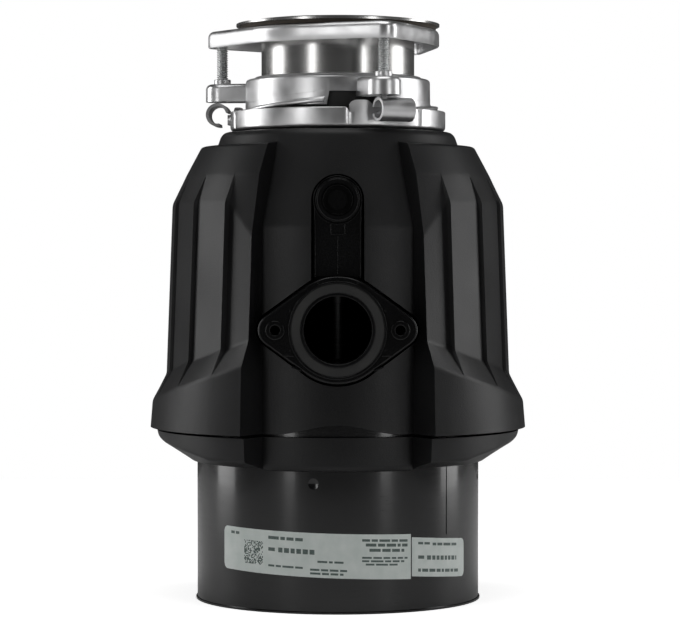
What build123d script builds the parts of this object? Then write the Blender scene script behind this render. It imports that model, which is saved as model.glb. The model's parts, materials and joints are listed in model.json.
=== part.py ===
"""A kitchen garbage disposal, in millimetres.

The origin is the centre of the base, +Z is up, and the discharge outlet faces -Y.
Angles called azimuths are measured about +Z from the front (-Y) towards +X.
"""

from build123d import *
from math import cos, pi, radians, sin
import os

os.makedirs("parts", exist_ok=True)

# ---- Clearances ----
RUNNING_GAP = 0.05          # a pin in its hole
MOVING_GAP = 0.45           # between pieces that pass each other
SEAT_GAP = 0.15             # between pieces that are bolted together
SECTOR_STEP = 12.0           # degrees between a wedge's corners

# ---- Motor can ----
CAN_R = 79.2
CAN_WALL = 1.1
CAN_HEIGHT = 112.0
CAN_LIP = 0.8               # how far the rolled edge at the foot stands out
CAN_LIP_H = 1.4
CAN_LIP_ROUND = 0.4
DIMPLE_Z = 70.0
DIMPLE_R = 3.0
DIMPLE_DEPTH = 0.5
DIMPLE_AZIMUTH = -9.5
WELD_AZIMUTH = 49.0
WELD_WIDTH = 1.6
WELD_H = 0.3

# ---- Labels ----
LABEL_T = 0.2
MAIN_LABEL_ARC = (-51.5, 30.0)
MAIN_LABEL_Z = (19.9, 43.7)
SIDE_LABEL_ARC = (30.2, 61.0)
SIDE_LABEL_Z = (17.5, 38.7)

# ---- Base ----
BASE_T = 3.0
WRENCH_HOLE_R = 7.5
WRENCH_COLLAR_T = 2.5
CONDUIT_R = 11.1
CONDUIT_AT = (0.0, 52.0)
TERMINAL_WIDTH = 46.0
TERMINAL_DEPTH = 30.0
TERMINAL_AT = (44.0, 0.0)
TERMINAL_RIM = 6.4
TERMINAL_COVER_T = 1.2
GROUND_SCREW_AT = (46.0, 4.0)
GROUND_HEAD_H = 3.0
BUTTON_R = 4.5
BUTTON_RECESS = 0.8
BUTTON_LENGTH = 9.0
BUTTON_ROUND = 0.8
BUTTON_AT = (-36.0, -24.0)
COVER_SCREW_R = 1.6
COVER_SCREW_HEAD_R = 2.6
COVER_SCREW_HEAD_H = 0.8
COVER_SCREW_LENGTH = 8.0
COVER_SCREW_EDGE = 0.6
BASE_SCREW_R = 2.0
BASE_SCREW_BACKSET = 18.1
SCREW_HEAD_R = 3.6
SCREW_HEAD_H = 1.6

# ---- Motor ----
SHAFT_R = 6.35
SHAFT_FOOT_Z = 9.0
SOCKET_AF = 6.35            # hexagon socket for the wrench
SOCKET_DEPTH = 9.0
BEARING_LENGTH = 16.0
BEARING_WALL = 3.6
HUB_WALL = 4.0
END_FRAME_Z = 14.0
END_FRAME_T = 4.0
ROTOR_R = 33.6
AIR_GAP = 0.5
STACK_Z = 36.0
STACK_LENGTH = 42.0
END_RING_H = 5.0
FAN_BLADE_H = 7.0
FAN_BLADES = 8
ROTOR_SLOTS = 24
STATOR_BACKSET = 10.1       # stack inside the can's wall
STATOR_SLOTS = 24
SLOT_DEPTH = 16.0
SLOT_WIDTH = 4.2
COIL_OVERHANG = 12.0
LINER_T = 0.5
SHAFT_STEP = 1.0
SHAFT_CHAMFER = 0.8
ROTOR_SLOT_DEPTH = 1.2
ROTOR_SLOT_WIDTH = 1.6
END_RING_WIDTH = 14.0
FAN_BLADE_T = 2.0
THRUST_WASHER_T = 1.2
HUB_DROP = 8.0              # upper bearing's hub below the can's top
SLOT_TOOTH_TIP = 1.5
SLOT_MOUTH = 2.0
COIL_ROUND = 4.0
VENT_AZIMUTHS = (0.0, 60.0, 120.0, 180.0)
VENT_AT = 40.0
VENT_R = 8.0
SWITCH_AZIMUTH = 190.0
SWITCH_SIZE = (26.0, 16.0)
SWITCH_H = 10.0
SWITCH_ROUND = 1.5
ELECTRICS_BACKSET = 16.1
OVERLOAD_WIDTH = 22.0
OVERLOAD_H = 7.0
OVERLOAD_ROOF = 1.2
THROUGH_BOLT_R = 2.4
THROUGH_BOLT_BACKSET = 5.1  # bolts inside the can's wall
BOLT_AZIMUTHS = (45.0, 135.0, 225.0, 315.0)
NUT_AF = 8.0
NUT_H = 3.0

# ---- Drain chamber ----
CHAMBER_HEIGHT = 60.0
CHAMBER_BACKSET = 11.2      # chamber inside the can's radius
CHAMBER_WALL = 4.0
CHAMBER_FLOOR_T = 4.0
CHAMBER_FLOOR_RISE = 14.0
FLANGE_BACKSET = 2.2
FLANGE_T = 4.5
OUTLET_RISE = 40.6
OUTLET_R = 18.2
OUTLET_WALL = 5.0
OUTLET_STANDOFF = 9.8       # outlet's face outside the motor can
OUTLET_PLATE_T = 6.0
OUTLET_PLATE_R = 28.8
OUTLET_PLATE_ROUND = 1.2
OUTLET_EAR_R = 9.2
OUTLET_SCREW_SPACING = 66.7
OUTLET_SCREW_R = 2.6
OUTLET_SCREW_DEPTH = 12.0
OUTLET_COLLAR_R = 5.1
OUTLET_COLLAR_H = 0.8
SEAL_SEAT_R = 25.6
SEAL_SEAT_DEPTH = 2.4
SEAL_RIM_R = 24.8
SEAL_RIM_H = 1.0
SEAL_WALL = 1.2
SEAL_ROUND = 0.35

# ---- Grinding container ----
GASKET_T = 1.2
BARREL_HEIGHT = 56.0
SHOULDER_HEIGHT = 28.0
BARREL_WALL = 3.5
NECK_R = 44.5               # inside of the neck
NECK_WALL = 3.0
NECK_COLLAR_REACH = 5.9     # collar outside the neck
NECK_COLLAR_T = 4.0
NECK_ABOVE_COLLAR = 6.0
FRONT_BOSS_HALF = 12.8
FRONT_BOSS_BACKSET = 0.2
FRONT_BOSS_WALL = 3.0
FRONT_SEAM_W = 0.8
INLET_RISE = 48.8           # inlet axis above the container's foot
INLET_R = 11.4
INLET_BORE_R = 8.8
INLET_ROUND = 0.8
INLET_STANDOFF = 12.8
INLET_PLUG_T = 2.5
INLET_PLUG_DEPTH = 7.0
INLET_PLUG_BOSS_R = 5.2
CONTAINER_BOLT_R = 2.0
CONTAINER_BOLT_EDGE = 2.6   # bolts inside the flange's rim
CONTAINER_HEAD_AF = 5.0
CONTAINER_BOLTS = 6
SLINGER_R = 16.0
SLINGER_T = 2.0

# ---- Grinding parts ----
TURNTABLE_T = 2.5
TURNTABLE_RISE = 5.0        # above the drain chamber's top
RING_T = 5.0
RING_HEIGHT = 24.0
RING_NOTCHES = 24
RING_NOTCH_W = 4.0
RING_NOTCH_H = 9.0
TURNTABLE_HOLES = 12
TURNTABLE_HOLE_R = 3.0
TURNTABLE_HOLE_TURN = 15.0
LUG_BACKSET = 21.80         # impellers' pivots inside the turntable's rim
LUG_LENGTH = 28.0
LUG_WIDTH = 15.0
LUG_T = 3.0
LUG_FIN_H = 12.0
LUG_FIN_T = 4.0
RIVET_R = 3.2
RIVET_HEAD_R = 5.6
RIVET_HEAD_H = 2.2
ROTOR_NUT_H = 7.0
ROTOR_NUT_AF = 19.0
WASHER_T = 1.6
WASHER_R = 13.0

# ---- Trim shells ----
SHELL_WALL = 2.6
SHELL_CORE_BACKSET = 17.2   # inner corner of a fairing's plan
DECK_RISE = 4.1             # deck above the container's shoulder
DECK_BACKSET = 20.2         # deck's edge inside the front panel
DECK_EDGE = 2.2
PANEL_STANDOFF = 4.6        # front panel outside the motor can
PANEL_SLOPE_H = 54.0
SEAM_Z_BELOW_CAN_TOP = 15.5
SEAM_GAP = 1.6
SHELL_FOOT_BELOW_CAN_TOP = 35.5
FOOT_GAP = 0.6
FAIRING_EDGE = 29.0
FAIRING_STEPS = (40.5, 57.0, 73.5)
PANEL_INSETS = (2.2, 2.0, 1.4, 0.3)
PANEL_STEP = 3.4
STEP_FADE = 0.05
FAIRING_TOP_DROP = 8.1
FAIRING_TOP_REACH = 13.0
FAIRING_CORNER_DROP = 3.2
FAIRING_CORNER_REACH = 1.7
ROOF_APEX_DROP = 24.8
ROOF_APEX_REACH = 21.9
KNEE_DROP = 40.2
KNEE_REACH = 14.6           # outside the motor can
FLARE_START_RISE = 14.0
FLARE_START_REACH = 18.1
FLARE_END_RISE = 0.0
FLARE_END_REACH = 25.1
SKIRT_REACH = 26.3
LOWER_TOP_REACH = 22.6
LOWER_FOOT_REACH = 1.2
LOWER_FOOT_RISE = 3.0
LOWER_EDGE_H = 1.8
WINDOW_GAP = 1.4

# ---- Insulation ----
FOAM_T = 4.5

# ---- Lower mounting ring ----
LOCK_RING_REACH = 4.1       # ring outside the ramps
LOCK_RING_WALL = 1.9
LOCK_RING_H = 11.0
LOCK_RING_RISE = 0.7
FINGER_SPAN = 12.0
FINGER_T = 2.0
FINGER_REACH = 7.4
FINGER_OFFSET = -15.0       # finger's azimuth from its loop's
LOOP_OFFSET = 5.0           # loop's azimuth from the screw's
LOOP_R = 6.5
LOOP_WALL = 1.5
LOOP_LENGTH = 20.0
LOOP_REACH = 6.7
LOOP_Z = 9.4
LOOP_STEM_T = 4.0
FINGER_HUMP = 4.0

# ---- Mounting ring ----
SCREW_AZIMUTHS = (22.0, 142.0, 262.0)
SCREW_REACH = 14.0          # screws outside the cup
CUP_REACH = 9.0             # cup outside the sleeve
CUP_WALL = 1.8
CUP_TOP_RISE = 29.0         # above the lower mounting ring's foot
RAMP_START_RISE = 7.4
RAMP_SPAN = 82.0
RAMP_CLIMB = 4.5            # rise per radian
RAMP_T = 1.8
RAMP_REACH = 4.4
RAMP_START_OFFSET = 8.0     # ramp's low end from the screw's azimuth
RAMP_STEPS = 10
RAMP_LAP = 0.2               # each step runs this far under the next, in degrees
EAR_R = 9.4
EAR_T = 2.0
EAR_DEPTH = 10.0
EAR_ROUND = 1.4
EAR_DROP = 1.8              # ear's top below the cup's top
EAR_ROOT_R = 30.0
CUP_SHOULDER = 2.4
COLLAR_R = 4.7
COLLAR_H = 3.0
BEAD_REACH = 4.0
BEAD_H = 1.6
BEAD_BEVEL = 0.6

# ---- Backup flange and screws ----
SCREW_R = 3.175
SCREW_SLOT_W = 1.4
SCREW_SLOT_D = 2.0
SCREW_CHAMFER = 0.7
PLATE_REACH = 14.0          # plate outside the sleeve
PLATE_LOBE_R = 8.0
PLATE_T = 2.0
PLATE_DEPTH = 8.0
PLATE_RISE = 57.0           # plate's top above the lower mounting ring's foot
SCREW_FOOT = 10.0           # how far a screw's foot hangs below its ear

# ---- Sink flange ----
SINK_FLANGE_REACH = 14.15
SLEEVE_PLAY = 1.5           # sleeve inside the neck
SLEEVE_WALL = 1.1
SLEEVE_BELOW_CUP = 12.0
SINK_GASKET_T = 2.0
RIM_T = 1.2
RIM_CROWN = 2.4
SNAP_WIRE_R = 1.2
SNAP_GROOVE = 0.6
SNAP_GAP_AZIMUTH = 80.0
SNAP_GAP_SPAN = 9.0
RIM_SLOPE = 7.0
RIM_ROLL = 2.5
SINK_GASKET_INSET = 2.0

# ---- Rubber parts ----
CUSHION_LIP_WALL = 4.0
BAFFLE_WALL = 2.0
BAFFLE_DEPTH = 10.0
BAFFLE_SAG = 4.0
BAFFLE_MOUTH_R = 9.0
BAFFLE_FLAPS = 9
BAFFLE_SLIT = 0.8
LOCK_TURN = 45.0            # how far the lower mounting ring turns

# ---- Derived levels ----
can_in_r = CAN_R - CAN_WALL
stator_r = can_in_r - STATOR_BACKSET
through_bolt_at = can_in_r - THROUGH_BOLT_BACKSET
base_screw_at = can_in_r - BASE_SCREW_BACKSET
chamber_r = CAN_R - CHAMBER_BACKSET
flange_r = CAN_R - FLANGE_BACKSET
outlet_face = CAN_R + OUTLET_STANDOFF
front_boss_face = CAN_R - FRONT_BOSS_BACKSET
inlet_face = CAN_R + INLET_STANDOFF
container_bolt_at = flange_r - CONTAINER_BOLT_EDGE
neck_collar_r = NECK_R + NECK_WALL + NECK_COLLAR_REACH
sleeve_r = NECK_R - SLEEVE_PLAY
cup_r = sleeve_r + CUP_REACH
bead_r = sleeve_r + BEAD_REACH
ramp_r = cup_r + RAMP_REACH
lock_ring_r = ramp_r + LOCK_RING_REACH
loop_at = lock_ring_r + LOOP_REACH
screw_at = cup_r + SCREW_REACH
plate_r = sleeve_r + PLATE_REACH
sink_flange_r = sleeve_r + SINK_FLANGE_REACH
electrics_at = can_in_r - ELECTRICS_BACKSET
shell_inner_core = CAN_R - SHELL_CORE_BACKSET
chamber_top = CAN_HEIGHT + CHAMBER_HEIGHT
outlet_z = CAN_HEIGHT + OUTLET_RISE
container_z = chamber_top + GASKET_T
barrel_top = container_z + BARREL_HEIGHT
shoulder_top = barrel_top + SHOULDER_HEIGHT
deck_z = shoulder_top + DECK_RISE
ring_z = deck_z + LOCK_RING_RISE
cup_top = ring_z + CUP_TOP_RISE
plate_top = ring_z + PLATE_RISE
rim_z = plate_top + SINK_GASKET_T
inlet_z = container_z + INLET_RISE
turntable_z = chamber_top + TURNTABLE_RISE
shredder_r = chamber_r
turntable_r = shredder_r - RING_T - MOVING_GAP
lug_at = turntable_r - LUG_BACKSET
barrel_r = shredder_r + BARREL_WALL
panel_r = CAN_R + PANEL_STANDOFF
deck_r = panel_r - DECK_BACKSET
seam_z = CAN_HEIGHT - SEAM_Z_BELOW_CAN_TOP
shell_foot = CAN_HEIGHT - SHELL_FOOT_BELOW_CAN_TOP
neck_outer = NECK_R + NECK_WALL
neck_top = ring_z + NECK_COLLAR_T + NECK_ABOVE_COLLAR
lower_travel = RAMP_CLIMB * radians(LOCK_TURN)
cup_in_r = cup_r - CUP_WALL
stator_in = ROTOR_R + AIR_GAP


def save(part, name):
    """Label a finished piece and write it to its own file."""
    part.label = name
    export_step(part, "parts/" + name + ".step")


def spot(azimuth, radius):
    """The point at an azimuth and a distance from the axis."""
    return (radius * sin(radians(azimuth)), -radius * cos(radians(azimuth)))


def turned(azimuth, radius=0.0):
    """A location at that point, with its +X pointing away from the axis."""
    x, y = spot(azimuth, radius)
    return Location((x, y, 0), (0, 0, azimuth - 90))


def sector(start, end, radius):
    """Corner points of a wedge about the axis, from one azimuth to another."""
    count = max(2, int(abs(end - start) / SECTOR_STEP) + 1)
    outer = [spot(start + (end - start) * i / count, radius) for i in range(count + 1)]
    return [(0, 0)] + outer


# ---- Motor can, base and labels ----

def make_motor_can():
    with BuildPart() as motor_can:
        with BuildSketch(Plane.XZ):
            with BuildLine():
                Polyline((can_in_r, 0), (CAN_R + CAN_LIP, 0), (CAN_R + CAN_LIP, CAN_LIP_H - CAN_LIP_ROUND),
                         (CAN_R, CAN_LIP_H), (CAN_R, CAN_HEIGHT), (can_in_r, CAN_HEIGHT), close=True)
            make_face()
        revolve(axis=Axis.Z)
        with BuildSketch(Plane.XY.offset(SIDE_LABEL_Z[1] + WELD_WIDTH)):
            with Locations(turned(WELD_AZIMUTH, CAN_R - CAN_WALL / 2)):
                Rectangle(CAN_WALL + 2 * WELD_H, WELD_WIDTH)
        extrude(amount=CAN_HEIGHT - SIDE_LABEL_Z[1] - WELD_WIDTH)
        with BuildSketch():
            Circle(can_in_r)
        extrude(amount=CAN_HEIGHT, mode=Mode.SUBTRACT)
        ball_r = (DIMPLE_R**2 + DIMPLE_DEPTH**2) / (2 * DIMPLE_DEPTH)
        for quarter in range(4):
            x, y = spot(DIMPLE_AZIMUTH + 90 * quarter, CAN_R + ball_r - DIMPLE_DEPTH)
            with Locations((x, y, DIMPLE_Z)):
                Sphere(ball_r, mode=Mode.SUBTRACT)
    save(motor_can.part, "motor_can")


def make_label(name, arc, levels):
    start, end = arc
    low, high = levels
    with BuildPart() as label:
        with BuildSketch(Plane.XY.offset(low)):
            Circle(CAN_R + LABEL_T)
            Circle(CAN_R, mode=Mode.SUBTRACT)
            with BuildLine():
                Polyline(*sector(start, end, 2 * CAN_R), close=True)
            make_face(mode=Mode.INTERSECT)
        extrude(amount=high - low)
    save(label.part, name)


def make_base_cover():
    with BuildPart() as base_cover:
        with BuildSketch():
            Circle(can_in_r - SEAT_GAP)
        extrude(amount=BASE_T)
        with BuildSketch(Plane.XY.offset(BASE_T)):
            Circle(WRENCH_HOLE_R + WRENCH_COLLAR_T)
        extrude(amount=BASE_T)
        with BuildSketch():
            Circle(WRENCH_HOLE_R)
            with Locations(CONDUIT_AT):
                Circle(CONDUIT_R)
            with Locations(BUTTON_AT):
                Circle(BUTTON_R + MOVING_GAP)
            for azimuth in BOLT_AZIMUTHS:
                with Locations(spot(azimuth, base_screw_at)):
                    Circle(BASE_SCREW_R + RUNNING_GAP)
            screw_x = TERMINAL_AT[0] - TERMINAL_WIDTH / 2 + COVER_SCREW_HEAD_R + COVER_SCREW_EDGE
            with Locations((screw_x, 0)):
                Circle(COVER_SCREW_R + RUNNING_GAP)
        extrude(amount=2 * BASE_T, mode=Mode.SUBTRACT)
        with BuildSketch():
            for azimuth in BOLT_AZIMUTHS:
                with Locations(spot(azimuth, base_screw_at)):
                    Circle(SCREW_HEAD_R + SEAT_GAP)
        extrude(amount=SCREW_HEAD_H, mode=Mode.SUBTRACT)
        with BuildSketch():
            with Locations(TERMINAL_AT):
                RectangleRounded(TERMINAL_WIDTH - 2 * TERMINAL_RIM, TERMINAL_DEPTH - 2 * TERMINAL_RIM, 3)
        extrude(amount=BASE_T, mode=Mode.SUBTRACT)
        with BuildSketch():
            with Locations(TERMINAL_AT):
                RectangleRounded(TERMINAL_WIDTH, TERMINAL_DEPTH, 4)
        extrude(amount=TERMINAL_COVER_T + SEAT_GAP, mode=Mode.SUBTRACT)
    save(base_cover.part, "base_cover")


def make_base_screws():
    with BuildPart() as base_screws:
        for azimuth in BOLT_AZIMUTHS:
            x, y = spot(azimuth, base_screw_at)
            with BuildSketch(Plane((x, y, SCREW_HEAD_H))):
                Circle(BASE_SCREW_R)
            extrude(amount=END_FRAME_Z + END_FRAME_T - SCREW_HEAD_H)
            with BuildSketch(Plane((x, y, SEAT_GAP))):
                Circle(SCREW_HEAD_R)
            extrude(amount=SCREW_HEAD_H - SEAT_GAP)
    save(base_screws.part, "base_screws")


def make_terminal_cover():
    screw_x = TERMINAL_AT[0] - TERMINAL_WIDTH / 2 + COVER_SCREW_HEAD_R + COVER_SCREW_EDGE
    with BuildPart() as terminal_cover:
        with BuildSketch():
            with Locations(TERMINAL_AT):
                RectangleRounded(TERMINAL_WIDTH - 2 * SEAT_GAP, TERMINAL_DEPTH - 2 * SEAT_GAP, 4)
            with Locations((screw_x, 0)):
                Circle(COVER_SCREW_R + RUNNING_GAP, mode=Mode.SUBTRACT)
        extrude(amount=TERMINAL_COVER_T)
        with BuildSketch():
            with Locations((screw_x, 0)):
                Circle(COVER_SCREW_HEAD_R + RUNNING_GAP)
        extrude(amount=COVER_SCREW_HEAD_H, mode=Mode.SUBTRACT)
    save(terminal_cover.part, "terminal_cover")
    with BuildPart() as terminal_screw:
        with BuildSketch(Plane.XY.offset(COVER_SCREW_HEAD_H)):
            with Locations((screw_x, 0)):
                Circle(COVER_SCREW_R)
        extrude(amount=COVER_SCREW_LENGTH)
        with BuildSketch():
            with Locations((screw_x, 0)):
                Circle(COVER_SCREW_HEAD_R)
        extrude(amount=COVER_SCREW_HEAD_H)
    save(terminal_screw.part, "terminal_cover_screw")
    with BuildPart() as ground_screw:
        with BuildSketch(Plane.XY.offset(END_FRAME_Z - GROUND_HEAD_H)):
            with Locations(GROUND_SCREW_AT):
                Circle(SCREW_HEAD_R)
        extrude(amount=GROUND_HEAD_H)
        with BuildSketch(Plane.XY.offset(END_FRAME_Z)):
            with Locations(GROUND_SCREW_AT):
                Circle(BASE_SCREW_R)
        extrude(amount=END_FRAME_T)
    save(ground_screw.part, "ground_screw")


# ---- Motor ----

def make_lower_end_frame():
    hub_r = SHAFT_R + BEARING_WALL + HUB_WALL
    with BuildPart() as frame:
        with BuildSketch(Plane.XY.offset(END_FRAME_Z)):
            Circle(can_in_r - SEAT_GAP)
        extrude(amount=END_FRAME_T)
        with BuildSketch(Plane.XY.offset(END_FRAME_Z)):
            Circle(hub_r)
        extrude(amount=BEARING_LENGTH)
        with BuildSketch(Plane.XY.offset(END_FRAME_Z)):
            Circle(SHAFT_R + BEARING_WALL)
            for azimuth in BOLT_AZIMUTHS:
                with Locations(spot(azimuth, through_bolt_at)):
                    Circle(THROUGH_BOLT_R + RUNNING_GAP)
                with Locations(spot(azimuth, base_screw_at)):
                    Circle(BASE_SCREW_R + RUNNING_GAP)
            with Locations(GROUND_SCREW_AT):
                Circle(BASE_SCREW_R + RUNNING_GAP)
            for azimuth in VENT_AZIMUTHS:
                with Locations(spot(azimuth, VENT_AT)):
                    Circle(VENT_R)
        extrude(amount=BEARING_LENGTH, mode=Mode.SUBTRACT)
    save(frame.part, "lower_end_frame")


def make_bearing(name, foot):
    with BuildPart() as bearing:
        with BuildSketch(Plane.XY.offset(foot)):
            Circle(SHAFT_R + BEARING_WALL)
            Circle(SHAFT_R + RUNNING_GAP, mode=Mode.SUBTRACT)
        extrude(amount=BEARING_LENGTH)
        chamfer(bearing.edges().filter_by(GeomType.CIRCLE), length=0.5)
    save(bearing.part, name)


def make_rotor_shaft():
    foot = SHAFT_FOOT_Z
    top = turntable_z + TURNTABLE_T + WASHER_T + ROTOR_NUT_H + 2
    with BuildPart() as shaft:
        with BuildSketch(Plane.XY.offset(foot)):
            Circle(SHAFT_R)
        extrude(amount=turntable_z - foot)
        with BuildSketch(Plane.XY.offset(turntable_z)):
            Circle(SHAFT_R - SHAFT_STEP)
        extrude(amount=top - turntable_z)
        chamfer(shaft.edges().filter_by(GeomType.CIRCLE).sort_by(Axis.Z)[-1], length=SHAFT_CHAMFER)
        with BuildSketch(Plane.XY.offset(foot)):
            RegularPolygon(SOCKET_AF / 2, 6, major_radius=False)
        extrude(amount=SOCKET_DEPTH, mode=Mode.SUBTRACT)
    save(shaft.part, "rotor_shaft")


def make_rotor_core():
    with BuildPart() as core:
        with BuildSketch(Plane.XY.offset(STACK_Z)):
            Circle(ROTOR_R)
        extrude(amount=STACK_LENGTH)
        with BuildSketch(Plane.XY.offset(STACK_Z)):
            with PolarLocations(ROTOR_R, ROTOR_SLOTS):
                Rectangle(ROTOR_SLOT_DEPTH, ROTOR_SLOT_WIDTH)
        extrude(amount=STACK_LENGTH, mode=Mode.SUBTRACT)
        for face_z, way in ((STACK_Z, -1), (STACK_Z + STACK_LENGTH, 1)):
            with BuildSketch(Plane.XY.offset(face_z)):
                Circle(ROTOR_R - ROTOR_SLOT_DEPTH)
                Circle(ROTOR_R - END_RING_WIDTH, mode=Mode.SUBTRACT)
            extrude(amount=way * END_RING_H)
            with BuildSketch(Plane.XY.offset(face_z + way * END_RING_H)):
                with PolarLocations(ROTOR_R - END_RING_WIDTH / 2 - 1, FAN_BLADES):
                    Rectangle(END_RING_WIDTH - 4, FAN_BLADE_T)
            extrude(amount=way * FAN_BLADE_H)
        with BuildSketch(Plane.XY.offset(STACK_Z - END_RING_H - FAN_BLADE_H)):
            Circle(SHAFT_R)
        extrude(amount=STACK_LENGTH + 2 * (END_RING_H + FAN_BLADE_H), mode=Mode.SUBTRACT)
    save(core.part, "rotor_core")


def make_thrust_washers():
    lower = END_FRAME_Z + BEARING_LENGTH
    upper = CAN_HEIGHT - HUB_DROP
    with BuildPart() as washers:
        for foot in (lower + MOVING_GAP, upper - MOVING_GAP - THRUST_WASHER_T):
            with BuildSketch(Plane.XY.offset(foot)):
                Circle(SHAFT_R + BEARING_WALL)
                Circle(SHAFT_R, mode=Mode.SUBTRACT)
            extrude(amount=THRUST_WASHER_T)
    save(washers.part, "thrust_washers")


def slot_centre():
    return stator_in + SLOT_TOOTH_TIP + SLOT_DEPTH / 2


def make_stator():
    with BuildPart() as stator:
        with BuildSketch(Plane.XY.offset(STACK_Z)):
            Circle(stator_r)
            Circle(stator_in, mode=Mode.SUBTRACT)
            with PolarLocations(slot_centre(), STATOR_SLOTS):
                Rectangle(SLOT_DEPTH, SLOT_WIDTH, mode=Mode.SUBTRACT)
            with PolarLocations(stator_in, STATOR_SLOTS):
                Rectangle(2 * SLOT_TOOTH_TIP + 1, SLOT_MOUTH, mode=Mode.SUBTRACT)
        extrude(amount=STACK_LENGTH)
    save(stator.part, "stator_core")
    fill = SLOT_WIDTH - 2 * LINER_T
    depth = SLOT_DEPTH - 2 * LINER_T
    with BuildPart() as windings:
        with BuildSketch(Plane.XY.offset(STACK_Z)):
            with PolarLocations(slot_centre(), STATOR_SLOTS):
                Rectangle(depth, fill)
        extrude(amount=STACK_LENGTH)
        for face_z, way in ((STACK_Z, -1), (STACK_Z + STACK_LENGTH, 1)):
            with BuildSketch(Plane.XY.offset(face_z)):
                Circle(slot_centre() + depth / 2)
                Circle(slot_centre() - depth / 2, mode=Mode.SUBTRACT)
            extrude(amount=way * COIL_OVERHANG)
            rims = windings.edges().filter_by(GeomType.CIRCLE).group_by(Axis.Z)
            fillet(rims[0] if way < 0 else rims[-1], radius=COIL_ROUND)
    save(windings.part, "stator_windings")
    with BuildPart() as liners:
        with BuildSketch(Plane.XY.offset(STACK_Z)):
            with PolarLocations(slot_centre(), STATOR_SLOTS):
                Rectangle(SLOT_DEPTH, SLOT_WIDTH)
            with PolarLocations(slot_centre(), STATOR_SLOTS):
                Rectangle(depth, fill, mode=Mode.SUBTRACT)
        extrude(amount=STACK_LENGTH)
    save(liners.part, "slot_liners")


def make_through_bolts():
    foot = END_FRAME_Z - NUT_H - 1
    top = CAN_HEIGHT + CHAMBER_FLOOR_T
    with BuildPart() as bolts:
        for azimuth in BOLT_AZIMUTHS:
            x, y = spot(azimuth, through_bolt_at)
            with BuildSketch(Plane((x, y, foot))):
                Circle(THROUGH_BOLT_R)
            extrude(amount=top - foot)
            with BuildSketch(Plane((x, y, top))):
                RegularPolygon(NUT_AF / 2, 6, major_radius=False)
            extrude(amount=NUT_H)
    save(bolts.part, "through_bolts")
    with BuildPart() as nuts:
        for azimuth in BOLT_AZIMUTHS:
            x, y = spot(azimuth, through_bolt_at)
            with BuildSketch(Plane((x, y, END_FRAME_Z - NUT_H))):
                RegularPolygon(NUT_AF / 2, 6, major_radius=False)
                Circle(THROUGH_BOLT_R, mode=Mode.SUBTRACT)
            extrude(amount=NUT_H)
    save(nuts.part, "through_bolt_nuts")


def make_electrics():
    """The pieces between the stator's coils and the end frame, and the reset button."""
    floor = END_FRAME_Z + END_FRAME_T
    with BuildPart() as switch:
        with BuildSketch(Plane.XY.offset(floor)):
            with Locations(spot(SWITCH_AZIMUTH, electrics_at)):
                Rectangle(*SWITCH_SIZE)
        extrude(amount=SWITCH_H)
        fillet(switch.edges().filter_by(Axis.Z), radius=SWITCH_ROUND)
    save(switch.part, "start_switch")
    with BuildPart() as overload:
        with BuildSketch(Plane.XY.offset(END_FRAME_Z - OVERLOAD_H)):
            with Locations(BUTTON_AT):
                RectangleRounded(OVERLOAD_WIDTH, OVERLOAD_WIDTH, 3)
                Circle(BUTTON_R + MOVING_GAP, mode=Mode.SUBTRACT)
        extrude(amount=OVERLOAD_H)
        with BuildSketch(Plane.XY.offset(END_FRAME_Z - OVERLOAD_ROOF)):
            with Locations(BUTTON_AT):
                Circle(BUTTON_R + MOVING_GAP)
        extrude(amount=OVERLOAD_ROOF)
    save(overload.part, "overload_protector")
    with BuildPart() as button:
        with BuildSketch(Plane.XY.offset(BUTTON_RECESS)):
            with Locations(BUTTON_AT):
                Circle(BUTTON_R)
        extrude(amount=BUTTON_LENGTH)
        fillet(button.edges().filter_by(GeomType.CIRCLE).sort_by(Axis.Z)[0], radius=BUTTON_ROUND)
    save(button.part, "reset_button")


# ---- Drain chamber and its outlet ----

def outlet_outline(margin):
    """The outlet flange's outline, round in the middle and drawn out to two ears."""
    with BuildSketch() as outline:
        Circle(OUTLET_PLATE_R + margin)
        with Locations((-OUTLET_SCREW_SPACING / 2, 0), (OUTLET_SCREW_SPACING / 2, 0)):
            Circle(OUTLET_EAR_R + margin)
        make_hull()
    return outline.sketch


def outlet_plane(distance):
    """A plane across the outlet, facing the front, at a distance from the axis."""
    return Plane(origin=(0, -distance, outlet_z), x_dir=(1, 0, 0), z_dir=(0, -1, 0))


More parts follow.
